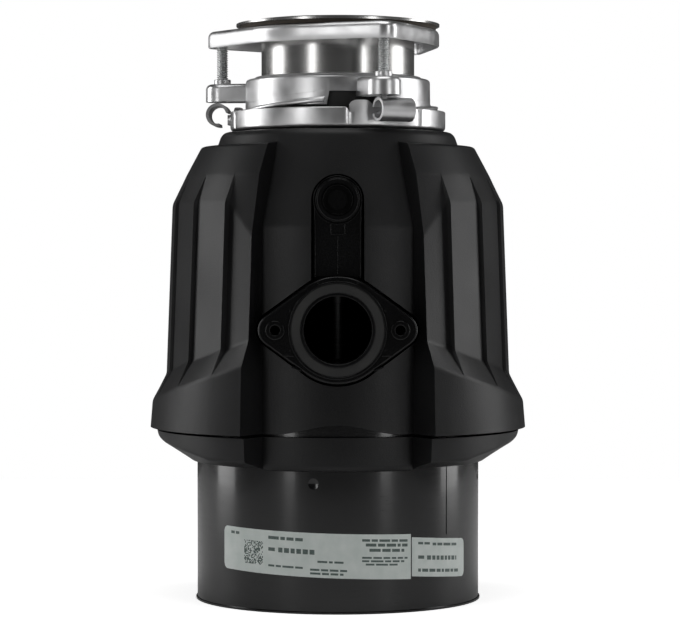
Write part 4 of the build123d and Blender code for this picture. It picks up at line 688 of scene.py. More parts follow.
fine_r, fine_z = upper_shell_corners(fine_azimuths)
fine_r = softened(fine_r, FINE, EDGE_SOFTNESS)
fine_z = softened(fine_z, FINE, EDGE_SOFTNESS)
shell_azimuths = clustered_azimuths(PANEL_EDGES[:4])
picked = np.round(shell_azimuths / FINE).astype(int) % len(fine_azimuths)
CORNER_ROUNDS = [1.6, 1.4, 2.0, 1.6, 1.6, 1.6, 0.8, 1.5, 1.4]
outer_r, outer_z = profile_curves(fine_r[:, picked], fine_z[:, picked], CORNER_ROUNDS)
drop = np.zeros((fine_r.shape[0], 1))
drop[6:] = SHELL_WALL
pull = np.full((fine_r.shape[0], 1), SHELL_WALL)
pull[-1] = 0.0
inner_r, inner_z = profile_curves(fine_r[:, picked] - pull, fine_z[:, picked] - drop, CORNER_ROUNDS)
upper_shell = turned_piece("upper_shell_moulding", np.concatenate([outer_r, inner_r[::-1]]),
                           np.concatenate([outer_z, inner_z[::-1]]), shell_azimuths, "housing",
                           finishes["black_shell"])
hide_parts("upper_shell")
print("upper shell grid:", outer_r.shape)


# %% Windows in the shell
def hull_of_circles(centres, radii, count=24):
    """Outline round a row of circles along X, largest in the middle.

    Each tangent touches a circle where the cosine of its angle is the difference of the two radii
    over the distance between centres.
    """
    lean = np.arccos((radii[1] - radii[2]) / (centres[2] - centres[1]))
    right = np.linspace(-lean, lean, count)
    upper = np.linspace(lean, np.pi - lean, count)
    left = np.linspace(np.pi - lean, np.pi + lean, count)
    lower = np.linspace(np.pi + lean, 2 * np.pi - lean, count)
    runs = [(centres[2], radii[2], right), (centres[1], radii[1], upper),
            (centres[0], radii[0], left), (centres[1], radii[1], lower)]
    return np.concatenate([np.stack([c + r * np.cos(t), r * np.sin(t)], -1) for c, r, t in runs])


def cut_front(piece, outline, near=-140.0, far=-60.0):
    """Cut an outline in X and Z through the front wall, along Y, and keep the result as the mesh."""
    count = len(outline)
    ring = np.asarray(outline, float)
    front = np.stack([ring[:, 0], np.full(count, near), ring[:, 1]], -1)
    back = front + np.array([0, far - near, 0])
    i = np.arange(count)
    sides = np.stack([i, (i + 1) % count, (i + 1) % count + count, i + count], -1).tolist()
    mesh = bpy.data.meshes.new("cutter")
    mesh.from_pydata(np.concatenate([front, back]) * MM, [],
                     sides + [list(range(count))[::-1], list(range(count, 2 * count))])
    bm = bmesh.new()
    bm.from_mesh(mesh)
    bmesh.ops.recalc_face_normals(bm, faces=bm.faces)
    bm.to_mesh(mesh)
    bm.free()
    cutter = bpy.data.objects.new("cutter", mesh)
    bpy.context.scene.collection.objects.link(cutter)
    step = piece.modifiers.new("window", "BOOLEAN")
    step.operation = "DIFFERENCE"
    step.solver = "EXACT"
    step.object = cutter
    graph = bpy.context.evaluated_depsgraph_get()
    result = bpy.data.meshes.new_from_object(piece.evaluated_get(graph))
    piece.modifiers.clear()
    piece.data = result
    bpy.data.objects.remove(cutter)
    result.shade_smooth()
    result.set_sharp_from_angle(angle=np.radians(35.0))


EAR_AT = 33.35
PLATE_EDGE_R = 28.8
EAR_EDGE_R = 9.2
WINDOW_GAP = 1.4
KEY_R = 14.2
eye = hull_of_circles((-EAR_AT, 0, EAR_AT), (EAR_EDGE_R + WINDOW_GAP, PLATE_EDGE_R + WINDOW_GAP,
                                             EAR_EDGE_R + WINDOW_GAP)) + np.array([0, outlet_z])
turn = np.linspace(0, np.pi, 33)
keyhole = np.concatenate([np.stack([KEY_R * np.cos(turn), inlet_z + KEY_R * np.sin(turn)], -1),
                          [[-KEY_R, outlet_z], [KEY_R, outlet_z]]])
cut_front(upper_shell, eye)
cut_front(upper_shell, keyhole)
print("upper shell faces:", len(upper_shell.data.polygons))

# %% [markdown]
# ## Lower trim shell
#
# Below the seam a second moulding closes the fairings. It stands a few millimetres inside the skirt,
# has an almost upright band and then a shallow cone back to the can. The band's lower edge climbs
# towards the sides. It is the same kind of grid as the upper shell.

# %% Lower shell surface
BAND_GAP = 1.6
LOWER_BAND_R = 101.8
LOWER_CORE_R = 83.3
lower_top = seam_z - BAND_GAP


def lower_shell_corners(azimuth):
    """Radius and height of the lower shell's five profile corners, from its foot to its top."""
    a = folded(azimuth)
    side = (a > FAIRING_EDGE).astype(float)
    one = np.ones_like(a)
    edge = lower_foot + 5.5 + 10.0 * np.clip((a - 45) / 45, 0, 1) ** 0.7
    core_r = np.stack([(can_r + 1.0) * one, (can_r + 2.6) * one, LOWER_CORE_R * one, LOWER_CORE_R * one,
                       LOWER_CORE_R * one])
    core_z = np.stack([lower_foot * one, (lower_foot + 0.4) * one, (lower_foot + 2.2) * one,
                       (lower_foot + 12) * one, lower_top * one])
    side_r = np.stack([(can_r + 1.0) * one, (can_r + 2.6) * one, (LOWER_BAND_R - 1.6) * one,
                       (LOWER_BAND_R - 0.6) * one, LOWER_BAND_R * one])
    side_z = np.stack([(lower_foot + 1.0) * one, (lower_foot + 1.2) * one, edge, edge + 1.2, lower_top * one])
    return core_r + (side_r - core_r) * side, core_z + (side_z - core_z) * side


low_r, low_z = lower_shell_corners(fine_azimuths)
low_r = softened(low_r, FINE, EDGE_SOFTNESS)[:, picked]
low_z = softened(low_z, FINE, EDGE_SOFTNESS)[:, picked]
skin_r, skin_z = profile_curves(low_r, low_z, [0.6, 1.6, 1.2])
wall_lift = np.array([[0.8], [1.6], [2.0], [1.0], [0]])
back_r, back_z = profile_curves(np.maximum(low_r - 2.2, can_r + 0.6), low_z + wall_lift, [0.4, 1.0, 0.8])
lower_shell = turned_piece("lower_shell_moulding", np.concatenate([skin_r, back_r[::-1]]),
                           np.concatenate([skin_z, back_z[::-1]]), shell_azimuths, "housing",
                           finishes["black_shell"])
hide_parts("lower_shell")
print("lower shell grid:", skin_r.shape)

# %% [markdown]
# ## Rating labels
#
# Two printed labels wrap part of the can, stuck on slightly askew. A texture would be the quick way,
# but here the film is a thin closed sheet with rounded corners and the print is a second thin layer
# of bars. The bars stand for lines of type and hold no words: their lengths come from a seeded
# random draw, and the square block is a random pattern of modules that can't be read.

# %% Label film
FILM = 0.16
PRINT_LIFT = 0.03
label_r = can_r + 0.02


def label_levels(azimuth, arc, feet, tops, corner, left, right):
    """Bottom and top of a label at each azimuth: straight edges that lean, with rounded corners.

    Within a corner radius of a rounded end the edges move in by R - sqrt(R^2 - (R - d)^2).
    """
    share = (azimuth - arc[0]) / (arc[1] - arc[0])
    low = feet[0] + (feet[1] - feet[0]) * share
    high = tops[0] + (tops[1] - tops[0]) * share
    along = np.radians(can_r)
    near = np.where(left, (azimuth - arc[0]) * along, corner)
    far = np.where(right, (arc[1] - azimuth) * along, corner)
    gap = np.clip(corner - np.minimum(near, far), 0, corner)
    bite = corner - np.sqrt(corner**2 - gap**2)
    return low + bite, high - bite


def sheet_on_can(name, azimuth, low, high, thickness, finish, rows=9):
    """A thin closed sheet wrapped on the can between two edges that vary with azimuth."""
    t = np.linspace(0, 1, rows).reshape(-1, 1)
    heights = low + (high - low) * t
    outer, inner = polar(azimuth, label_r + thickness, heights), polar(azimuth, label_r, heights)
    verts = np.concatenate([outer, inner[::-1]]).reshape(-1, 3)
    faces = grid_faces(2 * rows, len(azimuth), wrap_rows=True)
    i = np.arange(rows - 1)
    cols = len(azimuth)
    first = np.stack([i * cols, (i + 1) * cols, (2 * rows - 2 - i) * cols, (2 * rows - 1 - i) * cols], -1)
    last = (first + cols - 1)[:, ::-1]
    faces = np.concatenate([faces, first, last])
    return new_piece(name, verts, outward_mixed(verts, faces), "housing", finish, 30.0)


def outward_mixed(verts, faces):
    """Faces of a closed sheet with consistent winding, turned outwards by its volume."""
    mesh = bpy.data.meshes.new("check")
    mesh.from_pydata(np.asarray(verts).tolist(), [], np.asarray(faces).tolist())
    bm = bmesh.new()
    bm.from_mesh(mesh)
    bmesh.ops.recalc_face_normals(bm, faces=bm.faces)
    result = np.array([[v.index for v in f.verts] for f in bm.faces])
    bm.free()
    bpy.data.meshes.remove(mesh)
    return result


MAIN_ARC = (-51.3, 29.8)
SIDE_ARC = (30.3, 60.8)
MAIN_FEET, MAIN_TOPS = (21.9, 17.9), (45.2, 42.2)
SIDE_FEET, SIDE_TOPS = (19.3, 15.9), (40.4, 36.9)
CORNER = 3.0
CORNER_TURN = 3.0             # degrees at a rounded end that get closer columns
main_az = np.concatenate([np.linspace(0, CORNER_TURN, 10)[:-1] + MAIN_ARC[0],
                          np.linspace(MAIN_ARC[0] + CORNER_TURN, MAIN_ARC[1], 80)])
side_az = np.concatenate([np.linspace(SIDE_ARC[0], SIDE_ARC[1] - CORNER_TURN, 40)[:-1],
                          np.linspace(-CORNER_TURN, 0, 10) + SIDE_ARC[1]])
main_low, main_high = label_levels(main_az, MAIN_ARC, MAIN_FEET, MAIN_TOPS, CORNER, True, False)
side_low, side_high = label_levels(side_az, SIDE_ARC, SIDE_FEET, SIDE_TOPS, CORNER, False, True)
main_label = sheet_on_can("main_label_film", main_az, main_low, main_high, FILM, finishes["label_paper"])
side_label = sheet_on_can("side_label_film", side_az, side_low, side_high, FILM, finishes["label_paper"])
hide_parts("main_label")
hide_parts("side_label")


# %% Label print
def printed_bars(name, arc, feet, spans, finish):
    """Thin closed bars on a label: each span is start, end, low and high in millimetres.

    Lengths run along the label from its left end, and heights from its lower edge, which leans.
    """
    spans = np.asarray(spans, float)
    along = np.degrees(1.0 / can_r)
    steps = 5
    t = np.linspace(0, 1, steps)
    azimuth = arc[0] + (spans[:, :1] + (spans[:, 1:2] - spans[:, :1]) * t) * along
    base = feet[0] + (feet[1] - feet[0]) * (azimuth - arc[0]) / (arc[1] - arc[0])
    low, high = base + spans[:, 2:3], base + spans[:, 3:4]
    front, back = label_r + FILM + PRINT_LIFT, label_r + FILM
    rows = [polar(azimuth, r, z) for r, z in
            ((front, low), (front, high), (back, high), (back, low))]
    verts = np.stack(rows, 1)
    per = 4 * steps
    one = outward_mixed(verts[0].reshape(-1, 3), np.concatenate([
        grid_faces(4, steps, wrap_rows=True),
        [[0, steps, 2 * steps, 3 * steps], [steps - 1, 4 * steps - 1, 3 * steps - 1, 2 * steps - 1]]]))
    faces = (one[None] + np.arange(len(spans))[:, None, None] * per).reshape(-1, 4)
    piece = new_piece(name, verts.reshape(-1, 3), faces, "housing", finish, 30.0)


chance = np.random.default_rng(7)


def type_line(start, end, low, height, longest=7.0):
    """Word-long bars that fill a line, with gaps between them."""
    words, at = [], start
    while at < end - 1.0:
        length = min(chance.uniform(1.6, longest), end - at)
        words.append([at, at + length, low, low + height])
        at += length + 0.9
    return words


BLOCK_AT, BLOCK_FOOT, BLOCK_SIZE, BLOCK_MODULES = 16.0, 4.6, 12.6, 21
module = BLOCK_SIZE / BLOCK_MODULES
dark = chance.random((BLOCK_MODULES, BLOCK_MODULES)) < 0.52
across, up = np.nonzero(dark)
block = np.stack([BLOCK_AT + across * module, BLOCK_AT + (across + 1) * module,
                  BLOCK_FOOT + up * module, BLOCK_FOOT + (up + 1) * module], -1)
lines = (type_line(6, 14, 19.6, 1.5) + type_line(32, 52, 19.0, 1.7) + type_line(32, 36, 12.6, 1.9)
         + type_line(38, 60, 12.2, 2.6, 3.2) + type_line(56, 76, 3.6, 1.1) + type_line(56, 74, 1.6, 1.1)
         + type_line(84, 110, 20.2, 1.3) + type_line(86, 110, 17.6, 1.6) + type_line(88, 108, 14.8, 1.6)
         + type_line(84, 110, 11.0, 1.0) + type_line(84, 108, 9.2, 1.0) + type_line(86, 104, 7.4, 1.0)
         + type_line(32, 52, 4.2, 1.1) + type_line(60, 74, 8.0, 1.1))
side_lines = (type_line(4, 12, 17.4, 1.3) + type_line(14, 34, 17.0, 1.5) + type_line(4, 8, 9.6, 1.8)
              + type_line(10, 34, 9.2, 2.3, 3.2) + type_line(4, 36, 2.6, 1.7, 5.0))
printed_bars("main_label_print", MAIN_ARC, MAIN_FEET, np.concatenate([block, lines]), finishes["ink"])
printed_bars("side_label_print", SIDE_ARC, SIDE_FEET, side_lines, finishes["ink"])
print("printed bars:", len(block) + len(lines) + len(side_lines))

# %% [markdown]
# ## Mounting screws
#
# Three quarter-inch screws clamp the ring to the plate. The thread is a true helix: one grid whose
# radius rises and falls with height less a turn's share of the pitch. A stack of rings would look
# the same from afar but its lines would be level.

# %% Threaded screws
PITCH = 1.27
SCREW_OUT = 3.175
THREAD_DEPTH = 0.8
SCREW_AT = 66.0
SCREW_AZIMUTHS = {"front": 22.0, "right": 142.0, "left": 262.0}


def threaded_screw(name, node, body, azimuth):
    """A threaded rod on its own axis.

    At angle t and height z the phase is z / pitch - t / turn. The radius is full over a quarter of
    each pitch, falls straight to the root and rises again, and fades to the root at both ends.
    """
    low, high = foot(node) + 0.02, top(node) - 0.02
    rows = int((high - low) / PITCH * 10)
    turn = np.linspace(0, TURN, 25)[:-1]
    z = np.linspace(low, high, rows).reshape(-1, 1)
    phase = (z / PITCH - turn / TURN) % 1.0
    flank = np.clip(np.abs(phase - 0.5) * 2.6 - 0.25, 0, 1)
    fade = np.clip(np.minimum(z - low, high - z) / 1.0, 0, 1)
    radius = SCREW_OUT - THREAD_DEPTH * (1 - (1 - flank) * fade) - 0.35 * (1 - fade)
    x0, y0 = polar(azimuth, SCREW_AT, 0.0)[:2]
    side = np.stack([x0 + radius * np.cos(turn), y0 + radius * np.sin(turn), z + 0 * radius], -1)
    caps = [np.stack([x0 + radius[row] * k * np.cos(turn), y0 + radius[row] * k * np.sin(turn),
                      np.full(turn.shape, level)], -1) for row, level, k in
            ((0, low, 0.6), (0, low, 0.0), (-1, high, 0.6), (-1, high, 0.0))]
    points = np.concatenate([[caps[1]], [caps[0]], side, [caps[2]], [caps[3]]])
    faces = grid_faces(rows + 4, len(turn), wrap_cols=True)
    faces = outward(points, faces)
    piece = new_piece(name, points.reshape(-1, 3), faces, body, finishes["bright_zinc"], 50.0)
    weld(piece)
    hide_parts(node)
    return piece


def weld(piece):
    """Merge a mesh's doubles, which closes its poles, and keep its faces outward."""
    bm = bmesh.new()
    bm.from_mesh(piece.data)
    bmesh.ops.remove_doubles(bm, verts=bm.verts, dist=1e-6)
    bmesh.ops.recalc_face_normals(bm, faces=bm.faces)
    bm.to_mesh(piece.data)
    bm.free()


screws = [threaded_screw("screw_thread_" + side, "mounting_screw_" + side, "screw_" + side, azimuth)
          for side, azimuth in SCREW_AZIMUTHS.items()]
print("screw faces:", len(screws[0].data.polygons))

# %% [markdown]
# ## Backup flange
#
# The plate under the sink is pressed from sheet: a rounded triangle with a lobe over each screw and
# its rim turned down. Its outline is a star shape about the axis, so each azimuth has one radius and
# the whole plate is a profile whose width changes as it goes round.

# %% Lobed plate
PLATE_BODY_R = 57.0
LOBE_R = 8.0


def off_screw(azimuth, shift=0.0):
    """Degrees from the nearest screw, or from the point that far round from it."""
    ways = [(azimuth - screw - shift + 180) % 360 - 180 for screw in SCREW_AZIMUTHS.values()]
    return np.min(np.abs(ways), axis=0)


def lobed_radius(azimuth):
    """Distance to the plate's edge: the hull of a large circle and three small ones.

    Near a screw it is the small circle, 66 cos d + sqrt(r^2 - (66 sin d)^2); then the shared tangent,
    R / cos(d - b), where cos b = (R - r) / 66; past b it is the large circle.
    """
    d = np.radians(off_screw(azimuth))
    big, small = PLATE_BODY_R, LOBE_R
    lean = np.arccos((big - small) / SCREW_AT)
    touch = np.arctan2(small * np.sin(lean), SCREW_AT + small * np.cos(lean))
    lobe = SCREW_AT * np.cos(d) + np.sqrt(np.clip(small**2 - (SCREW_AT * np.sin(d)) ** 2, 0, None))
    tangent = big / np.cos(np.clip(d - lean, -1.4, 1.4))
    return np.where(d < touch, lobe, np.where(d < lean, tangent, big))


PLATE_SHEET = 2.0
PLATE_RIM = 9.4
PLATE_ROUND = 3.4
plate_az = even_azimuths(480)
arc = np.linspace(0, np.pi / 2, 7)
plate_hole_r = 46.0
edge = lobed_radius(plate_az)
outer_rows = ([plate_hole_r + 0 * edge, edge - 9.0]
              + [edge - PLATE_ROUND + PLATE_ROUND * np.sin(t) for t in arc])
outer_lift = [plate_top, plate_top] + [plate_top - PLATE_ROUND + PLATE_ROUND * np.cos(t) for t in arc]
inner_round = PLATE_ROUND - PLATE_SHEET + 0.4
inner_edge = edge - PLATE_SHEET
inner_rows = ([inner_edge - inner_round + inner_round * np.sin(t) for t in arc[::-1]]
              + [plate_hole_r + 0 * edge])
inner_lift = [plate_top - PLATE_SHEET - inner_round + inner_round * np.cos(t) for t in arc[::-1]]
rim_foot = plate_top - PLATE_RIM
plate_r = np.stack(outer_rows + [edge, edge - 0.5, inner_edge + 0.5, inner_edge] + inner_rows)
plate_z = np.array(outer_lift + [rim_foot + 0.6, rim_foot, rim_foot, rim_foot + 0.6] + inner_lift
                   + [plate_top - PLATE_SHEET])
backup = turned_piece("backup_flange_pressing", plate_r, plate_z, plate_az, "sink_mount",
                      finishes["zinc"], 40.0)
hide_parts("backup_flange")
print("plate reach:", round(float(edge.max()), 2))

# %% [markdown]
# ## Mounting ring
#
# The pressed ring under the plate is a cup with a rounded shoulder. Three ears hold the screws, and
# three lips climb round the cup like a coarse screw thread, for the lower ring's fingers to ride on.
# Each lip is a small section carried along a helix. The ears are pans: an outline round the screw is
# shrunk towards it row by row, and the last rows turn down.

# %% Mounting ring
CUP_OUT = 52.0
CUP_SHEET = 1.8
RAMP_OUT = 56.4
RAMP_SPAN = 82.0
RAMP_OFFSET = 8.0
RAMP_CLIMB = 4.5
RAMP_SHEET = 1.8
GAP_HALF = 17.0
GAP_RISE = 12.4
GAP_OFFSET = -11.0            # degrees from a screw to the middle of its gap
GAP_SIDE = 1.5                # degrees over which a gap's side rises
CUP_EDGE_RISE = 5.0
EAR_R, EAR_DEPTH, EAR_SHEET, EAR_ROUND = 9.4, 10.0, 2.0, 3.0
COLLAR_R, COLLAR_RISE = 4.7, 3.0
CUP_NECK_R = 43.6
CUP_BEAD = 1.5
cup_crown = top("mounting_ring") - 1.6
ramp_foot = foot("mounting_ring")
ear_level = cup_crown - 1.8


def swept_lip(start, span, base, climb, profile):
    """A closed section carried along a helix: its height rises by climb for each radian of travel."""
    azimuth = np.linspace(start, start + span, 61)
    lift = climb * np.radians(azimuth - start)
    profile = np.asarray(profile, float)
    points = polar(azimuth, profile[:, :1], base + profile[:, 1:2] + lift)
    return capped(points)


def pan(azimuth, level, reach, depth, sheet, corner):
    """A pressed ear round a screw: rows shrink from its outline to the screw's hole and turn down.

    The outline's distance from the screw is the ear's radius outwards, and inwards it is a strip of
    that half width as long as the way to the cup.
    """
    turn = np.linspace(0, TURN, 97)[:-1]
    inward = np.maximum(-np.cos(turn), 1e-6)
    side = np.maximum(np.abs(np.sin(turn)), 1e-6)
    capsule = np.minimum(reach / side, (SCREW_AT - CUP_OUT + 3.0) / inward)
    edge = np.where(np.cos(turn) >= 0, reach, np.minimum(capsule, 40.0))
    t = np.linspace(0, np.pi / 2, 6)
    hole = np.full(turn.shape, SCREW_OUT + 0.2)
    rows = [hole, 0.5 * (hole + edge)] + [edge - corner + corner * np.sin(k) for k in t]
    lift = [0, 0] + [corner * (np.cos(k) - 1) for k in t]
    rows += [edge, edge - sheet] + [edge - sheet - 0.3, hole]
    lift += [-depth, -depth] + [-sheet, -sheet]
    d, z = np.stack(rows), np.array(lift).reshape(-1, 1)
    centre = polar(azimuth, SCREW_AT, 0.0)
    out = polar(azimuth, 1.0, 0.0)
    across = np.array([-out[1], out[0], 0.0])
    points = (centre + d[..., None] * (np.cos(turn)[:, None] * out + np.sin(turn)[:, None] * across)
              + np.array([0, 0, 1.0]) * (level + z)[..., None])
    return looped(points)


def collar(azimuth, level, inner, outer, height):
    """A small rounded boss round a screw."""
    profile = rounded([(inner, 0), (outer, 0), (outer, height), (inner, height)], 0.6)
    turn = np.linspace(0, TURN, 41)[:-1]
    centre = polar(azimuth, SCREW_AT, 0.0)
    points = np.stack([centre[0] + profile[:, :1] * np.cos(turn), centre[1] + profile[:, :1] * np.sin(turn),
                       level + profile[:, 1:2] + 0 * turn], -1)
    return looped(points)


def mixed_piece(name, parts, body, finish, sharp=40.0):
    """One object from several closed surfaces whose faces may have any number of corners."""
    verts, faces, start = [], [], 0
    for points, quads in parts:
        verts.append(points)
        faces += [[k + start for k in face] for face in quads]
        start += len(points)
    mesh = bpy.data.meshes.new(name)
    mesh.from_pydata(np.concatenate(verts) * MM, [], faces)
    bm = bmesh.new()
    bm.from_mesh(mesh)
    bmesh.ops.remove_doubles(bm, verts=bm.verts, dist=1e-6)
    bmesh.ops.recalc_face_normals(bm, faces=bm.faces)
    bm.to_mesh(mesh)
    bm.free()
    mesh.shade_smooth()
    mesh.set_sharp_from_angle(angle=np.radians(sharp))
    mesh.materials.append(finish)
    piece = bpy.data.objects.new(name, mesh)
    bpy.context.scene.collection.objects.link(piece)
    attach(piece, body)
    return piece


cup_profile = rounded([(CUP_NECK_R, cup_crown - CUP_SHEET), (CUP_NECK_R, cup_crown + CUP_BEAD),
                       (46.6, cup_crown + CUP_BEAD), (47.4, cup_crown), (CUP_OUT - 0.2, cup_crown),
                       (CUP_OUT, ramp_foot + CUP_EDGE_RISE), (CUP_OUT - CUP_SHEET, ramp_foot + CUP_EDGE_RISE),
                       (CUP_OUT - CUP_SHEET, cup_crown - CUP_SHEET)],
                      [0.4, 0.7, 0.9, 0.9, 3.2, 0.5, 0.5, 2.0], 6)
cup_az = even_azimuths(480)
opening = np.clip((GAP_HALF - off_screw(cup_az, GAP_OFFSET)) / GAP_SIDE + 0.5, 0, 1)
cup_edge = ramp_foot + CUP_EDGE_RISE + (GAP_RISE - CUP_EDGE_RISE) * opening
cup_points = polar(cup_az, cup_profile[:, :1], np.maximum(cup_profile[:, 1:2], cup_edge))
parts = [looped(cup_points)]
lip_profile = rounded([(CUP_OUT - CUP_SHEET, 0.0), (RAMP_OUT, 0.0), (RAMP_OUT, RAMP_SHEET),
                       (CUP_OUT + 1.0, RAMP_SHEET), (CUP_OUT, RAMP_SHEET + 1.0), (CUP_OUT, 6.2),
                       (CUP_OUT - CUP_SHEET, 6.2)], [0.3, 0.8, 0.7, 0.8, 0.8, 0.2, 0.2], 4)
for screw in SCREW_AZIMUTHS.values():
    parts.append(swept_lip(screw + RAMP_OFFSET, RAMP_SPAN, ramp_foot, RAMP_CLIMB, lip_profile))
    parts.append(pan(screw, ear_level, EAR_R, EAR_DEPTH, EAR_SHEET, EAR_ROUND))
    parts.append(collar(screw, ear_level - 0.2, SCREW_OUT + 0.2, COLLAR_R, COLLAR_RISE))
mounting = mixed_piece("mounting_ring_pressing", parts, "sink_mount", finishes["zinc"])
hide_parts("mounting_ring")
print("mounting ring faces:", len(mounting.data.polygons))

# %% [markdown]
# ## Front details
#
# The outlet and the inlet are moulded with raised rings, small nubs, ribs and screw collars. Each
# ring is a rounded section turned about the outlet's or the inlet's own axis, which runs along Y.
# They catch thin bright lines of light on a face that is otherwise black.

# %% Rings, nubs and ribs
outlet_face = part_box("drain_chamber")[0][1] / MM
inlet_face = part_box("grinding_container")[0][1] / MM
plug_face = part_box("inlet_plug")[0][1] / MM


def front_ring(centre_z, inner, outer, back, front, centre_x=0.0, soft=0.35, count=96):
    """A raised ring on the front: a rounded section in radius and depth turned about an axis along Y."""
    section = rounded([(inner, back), (outer, back), (outer, front), (inner, front)], soft, 5)
    turn = np.linspace(0, TURN, count + 1)[:-1]
    r, y = section[:, :1], section[:, 1:2]
    points = np.stack([centre_x + r * np.cos(turn), y + 0 * turn, centre_z + r * np.sin(turn)], -1)
    return looped(points)


def rib(start, end, width, back, front):
    """A straight rib on the front face between two points in X and Z, with a rounded back."""
    start, end = np.asarray(start, float), np.asarray(end, float)
    along = (end - start) / np.linalg.norm(end - start)
    across = np.array([-along[1], along[0]])
    half = width / 2
    section = rounded([(-half, back), (half, back), (half, front), (-half, front)], 0.3, 4)
    t = np.linspace(0, 1, 6).reshape(-1, 1)
    middle = start + (end - start) * t
    x = middle[:, 0] + section[:, :1] * across[0]
    z = middle[:, 1] + section[:, :1] * across[1]
    points = np.stack([x, section[:, 1:2] + 0 * x, z], -1)
    return capped(points)


parts = [front_ring(outlet_z, 18.3, 20.1, outlet_face + 0.4, outlet_face - 0.7),
         front_ring(outlet_z, 25.0, 26.3, outlet_face + 2.6, outlet_face - 0.5),
         front_ring(outlet_z, 22.4, 23.0, outlet_face + 0.6, outlet_face - 0.1)]
for quarter in range(8):
    angle = np.radians(22.5 + 45 * quarter)
    parts.append(front_ring(outlet_z + 27.3 * np.sin(angle), 0.05, 0.6, outlet_face + 2.0, outlet_face - 0.3,
                            27.3 * np.cos(angle), 0.2, 16))
for side in (-1, 1):
    parts.append(front_ring(outlet_z, 2.7, 5.1, outlet_face + 2.0, outlet_face - 0.8, side * EAR_AT, 0.5, 48))
    parts.append(rib((side * 29.5, outlet_z - 13.5), (side * 23.4, outlet_z - 13.5), 0.9, outlet_face + 2.4,
                     outlet_face + 0.2))
    parts.append(rib((side * 24.5, outlet_z - 19.5), (side * 19.5, outlet_z - 21.5), 0.9, outlet_face + 2.4,
                     outlet_face + 0.2))
outlet_rings = mixed_piece("outlet_rings", parts, "housing", finishes["container_black"])
print("outlet face y", round(outlet_face, 2), "inlet face y", round(inlet_face, 2))

boss_y = -78.9
parts = [front_ring(inlet_z, 12.5, 13.1, boss_y + 0.5, boss_y - 0.8, soft=0.25),
         front_ring(inlet_z, 11.35, 11.75, boss_y + 0.5, inlet_face + 0.15, soft=0.18),
         front_ring(inlet_z, 9.4, 9.9, plug_face + 1.0, plug_face - 0.35, soft=0.2),
         front_ring(inlet_z, 7.7, 8.3, plug_face + 1.0, plug_face - 0.35, soft=0.2),
         rib((-3.7, inlet_z - 12.9), (-3.7, inlet_z - 8.6 - 9.5), 0.7, boss_y + 0.4, boss_y - 0.7),
         rib((3.7, inlet_z - 12.9), (3.7, inlet_z - 8.6 - 9.5), 0.7, boss_y + 0.4, boss_y - 0.7),
         rib((-3.7, inlet_z - 18.1), (3.7, inlet_z - 18.1), 0.7, boss_y + 0.4, boss_y - 0.7),
         rib((0.0, inlet_z - 19.0), (0.0, outlet_z + 30.0), 0.5, boss_y + 0.3, boss_y - 0.25)]
for side in (-1, 1):
    parts.append(rib((side * 12.2, inlet_z - 2.0), (side * 12.2, outlet_z + 28.0), 0.7, boss_y + 0.4,
                     boss_y - 0.5))
inlet_rings = mixed_piece("inlet_rings", parts, "housing", finishes["container_black"])

# %% [markdown]
# ## Lower mounting ring
#
# The ring that locks the machine up is rolled from strip. Three straps stand up from it: one end of
# each is curled into a tube that takes a wrench for turning it. A curl is a strip carried round part
# of a circle, so it is one more grid: its section is the strip and its path an open arc.

# %% Rolled ring and its loops
RING_OUT = 60.5
RING_SHEET = 1.9
RING_RISE = 11.0
RING_IN = 53.9
LOOP_REACH = 67.2
LOOP_RISE = 9.4
LOOP_OUT = 6.5
LOOP_SHEET = 1.6
LOOP_LENGTH = 20.0
LOOP_OFFSET = 5.0
CURL_START = 165              # where a curl leaves its stem, from outward through up
FINGER_OFFSET = -10.0
FINGER_SPAN = 12.0
NOTCH_OFFSET = 21.0           # degrees from a loop to the nicks beside it
NOTCH_HALF = 0.9
NOTCH_IN, NOTCH_DOWN = 0.7, 2.2


def curled_strap(azimuth, opening):
    """A strip curled about an axis that runs along the ring's tangent.

    Each row is an angle round the curl, from the stem over its top and down almost to the stem again,
    at the strip's outer radius and back at its inner radius; columns run along the tube.
    """
    turn = np.radians(np.linspace(CURL_START, CURL_START - 360 + opening, 49))
    out, inn = LOOP_OUT, LOOP_OUT - LOOP_SHEET
    loop = np.concatenate([np.stack([out * np.cos(turn), out * np.sin(turn)], -1),
                           np.stack([inn * np.cos(turn[::-1]), inn * np.sin(turn[::-1])], -1)])
    along = np.linspace(-LOOP_LENGTH / 2, LOOP_LENGTH / 2, 9)
    radial, tangent = polar(azimuth, 1.0, 0.0), polar(azimuth + 90, 1.0, 0.0)
    centre = polar(azimuth, LOOP_REACH, ring_z + LOOP_RISE)
    points = (centre + loop[:, None, :1] * radial + along[:, None] * tangent
              + np.array([0, 0, 1.0]) * loop[:, None, 1:2])
    return capped(points)


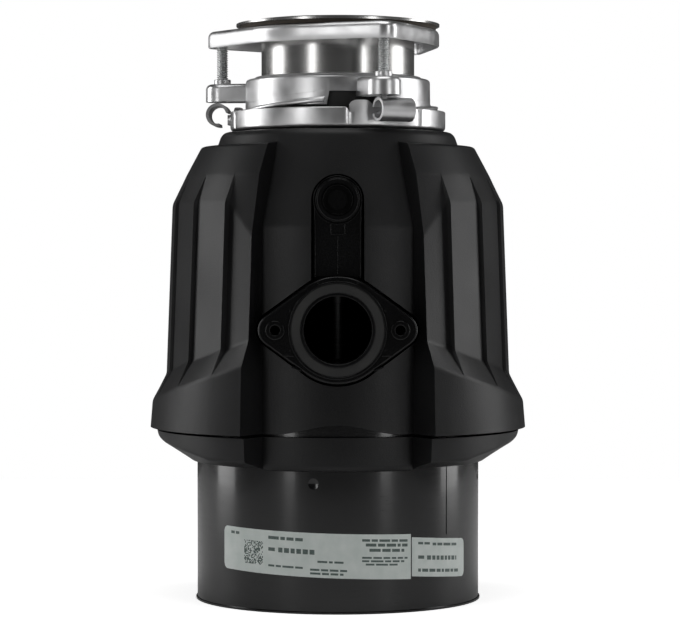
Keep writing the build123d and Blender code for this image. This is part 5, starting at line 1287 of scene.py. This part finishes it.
def strap_on_ring(middle, span, low, high, inner, outer, swoop=0.0):
    """A curved plate standing on the ring between two azimuths, its top edge dipping at its ends."""
    azimuth = np.linspace(middle - span / 2, middle + span / 2, 25)
    t = np.linspace(-1, 1, 25)
    crest = high - swoop * t**4
    r = np.array([inner, outer, outer, inner])
    z = np.stack([low + 0 * crest, low + 0 * crest, crest, crest])
    points = polar(azimuth, r.reshape(-1, 1), z)
    return capped(points)


ring_profile = rounded([(RING_IN, ring_z), (RING_OUT, ring_z), (RING_OUT, ring_z + RING_RISE),
                        (RING_OUT - RING_SHEET, ring_z + RING_RISE),
                        (RING_OUT - RING_SHEET, ring_z + RING_SHEET),
                        (RING_IN, ring_z + RING_SHEET)], [0.3, 2.6, 0.7, 0.7, 1.4, 0.3], 7)
ring_az = even_azimuths(360)
notch = np.zeros(360)
for screw in SCREW_AZIMUTHS.values():
    for mark in (screw + LOOP_OFFSET - NOTCH_OFFSET, screw + LOOP_OFFSET + NOTCH_OFFSET):
        notch += np.exp(-(((ring_az - mark + 180) % 360 - 180) / NOTCH_HALF) ** 2)
on_wall = ring_profile[:, :1] > RING_OUT - RING_SHEET - 0.3
on_crest = ring_profile[:, 1:2] > ring_z + RING_RISE - 1.0
ring_rows_r = ring_profile[:, :1] - NOTCH_IN * notch * on_wall
ring_rows_z = ring_profile[:, 1:2] - NOTCH_DOWN * notch * on_crest
ring_points = polar(ring_az, ring_rows_r, ring_rows_z)
parts = [looped(ring_points)]
for side, screw in SCREW_AZIMUTHS.items():
    parts.append(curled_strap(screw + LOOP_OFFSET, 95.0 if side == "left" else 38.0))
    parts.append(strap_on_ring(screw + FINGER_OFFSET, FINGER_SPAN, ring_z + 8.0, ring_z + 14.8,
                               RING_OUT - RING_SHEET, RING_OUT, 2.5))
    parts.append(strap_on_ring(screw + FINGER_OFFSET, FINGER_SPAN, ring_z + 9.0, ring_z + 11.0,
                               RING_OUT - 7.4, RING_OUT - 0.5))
    parts.append(strap_on_ring(screw + LOOP_OFFSET, 17.0, ring_z + 4.0, ring_z + 9.6, RING_OUT - RING_SHEET,
                               RING_OUT + 1.6, 3.5))
lower_ring = mixed_piece("lower_mounting_ring_rolled", parts, "locking_ring", finishes["zinc"])
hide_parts("lower_mounting_ring")
print("lower ring faces:", len(lower_ring.data.polygons))
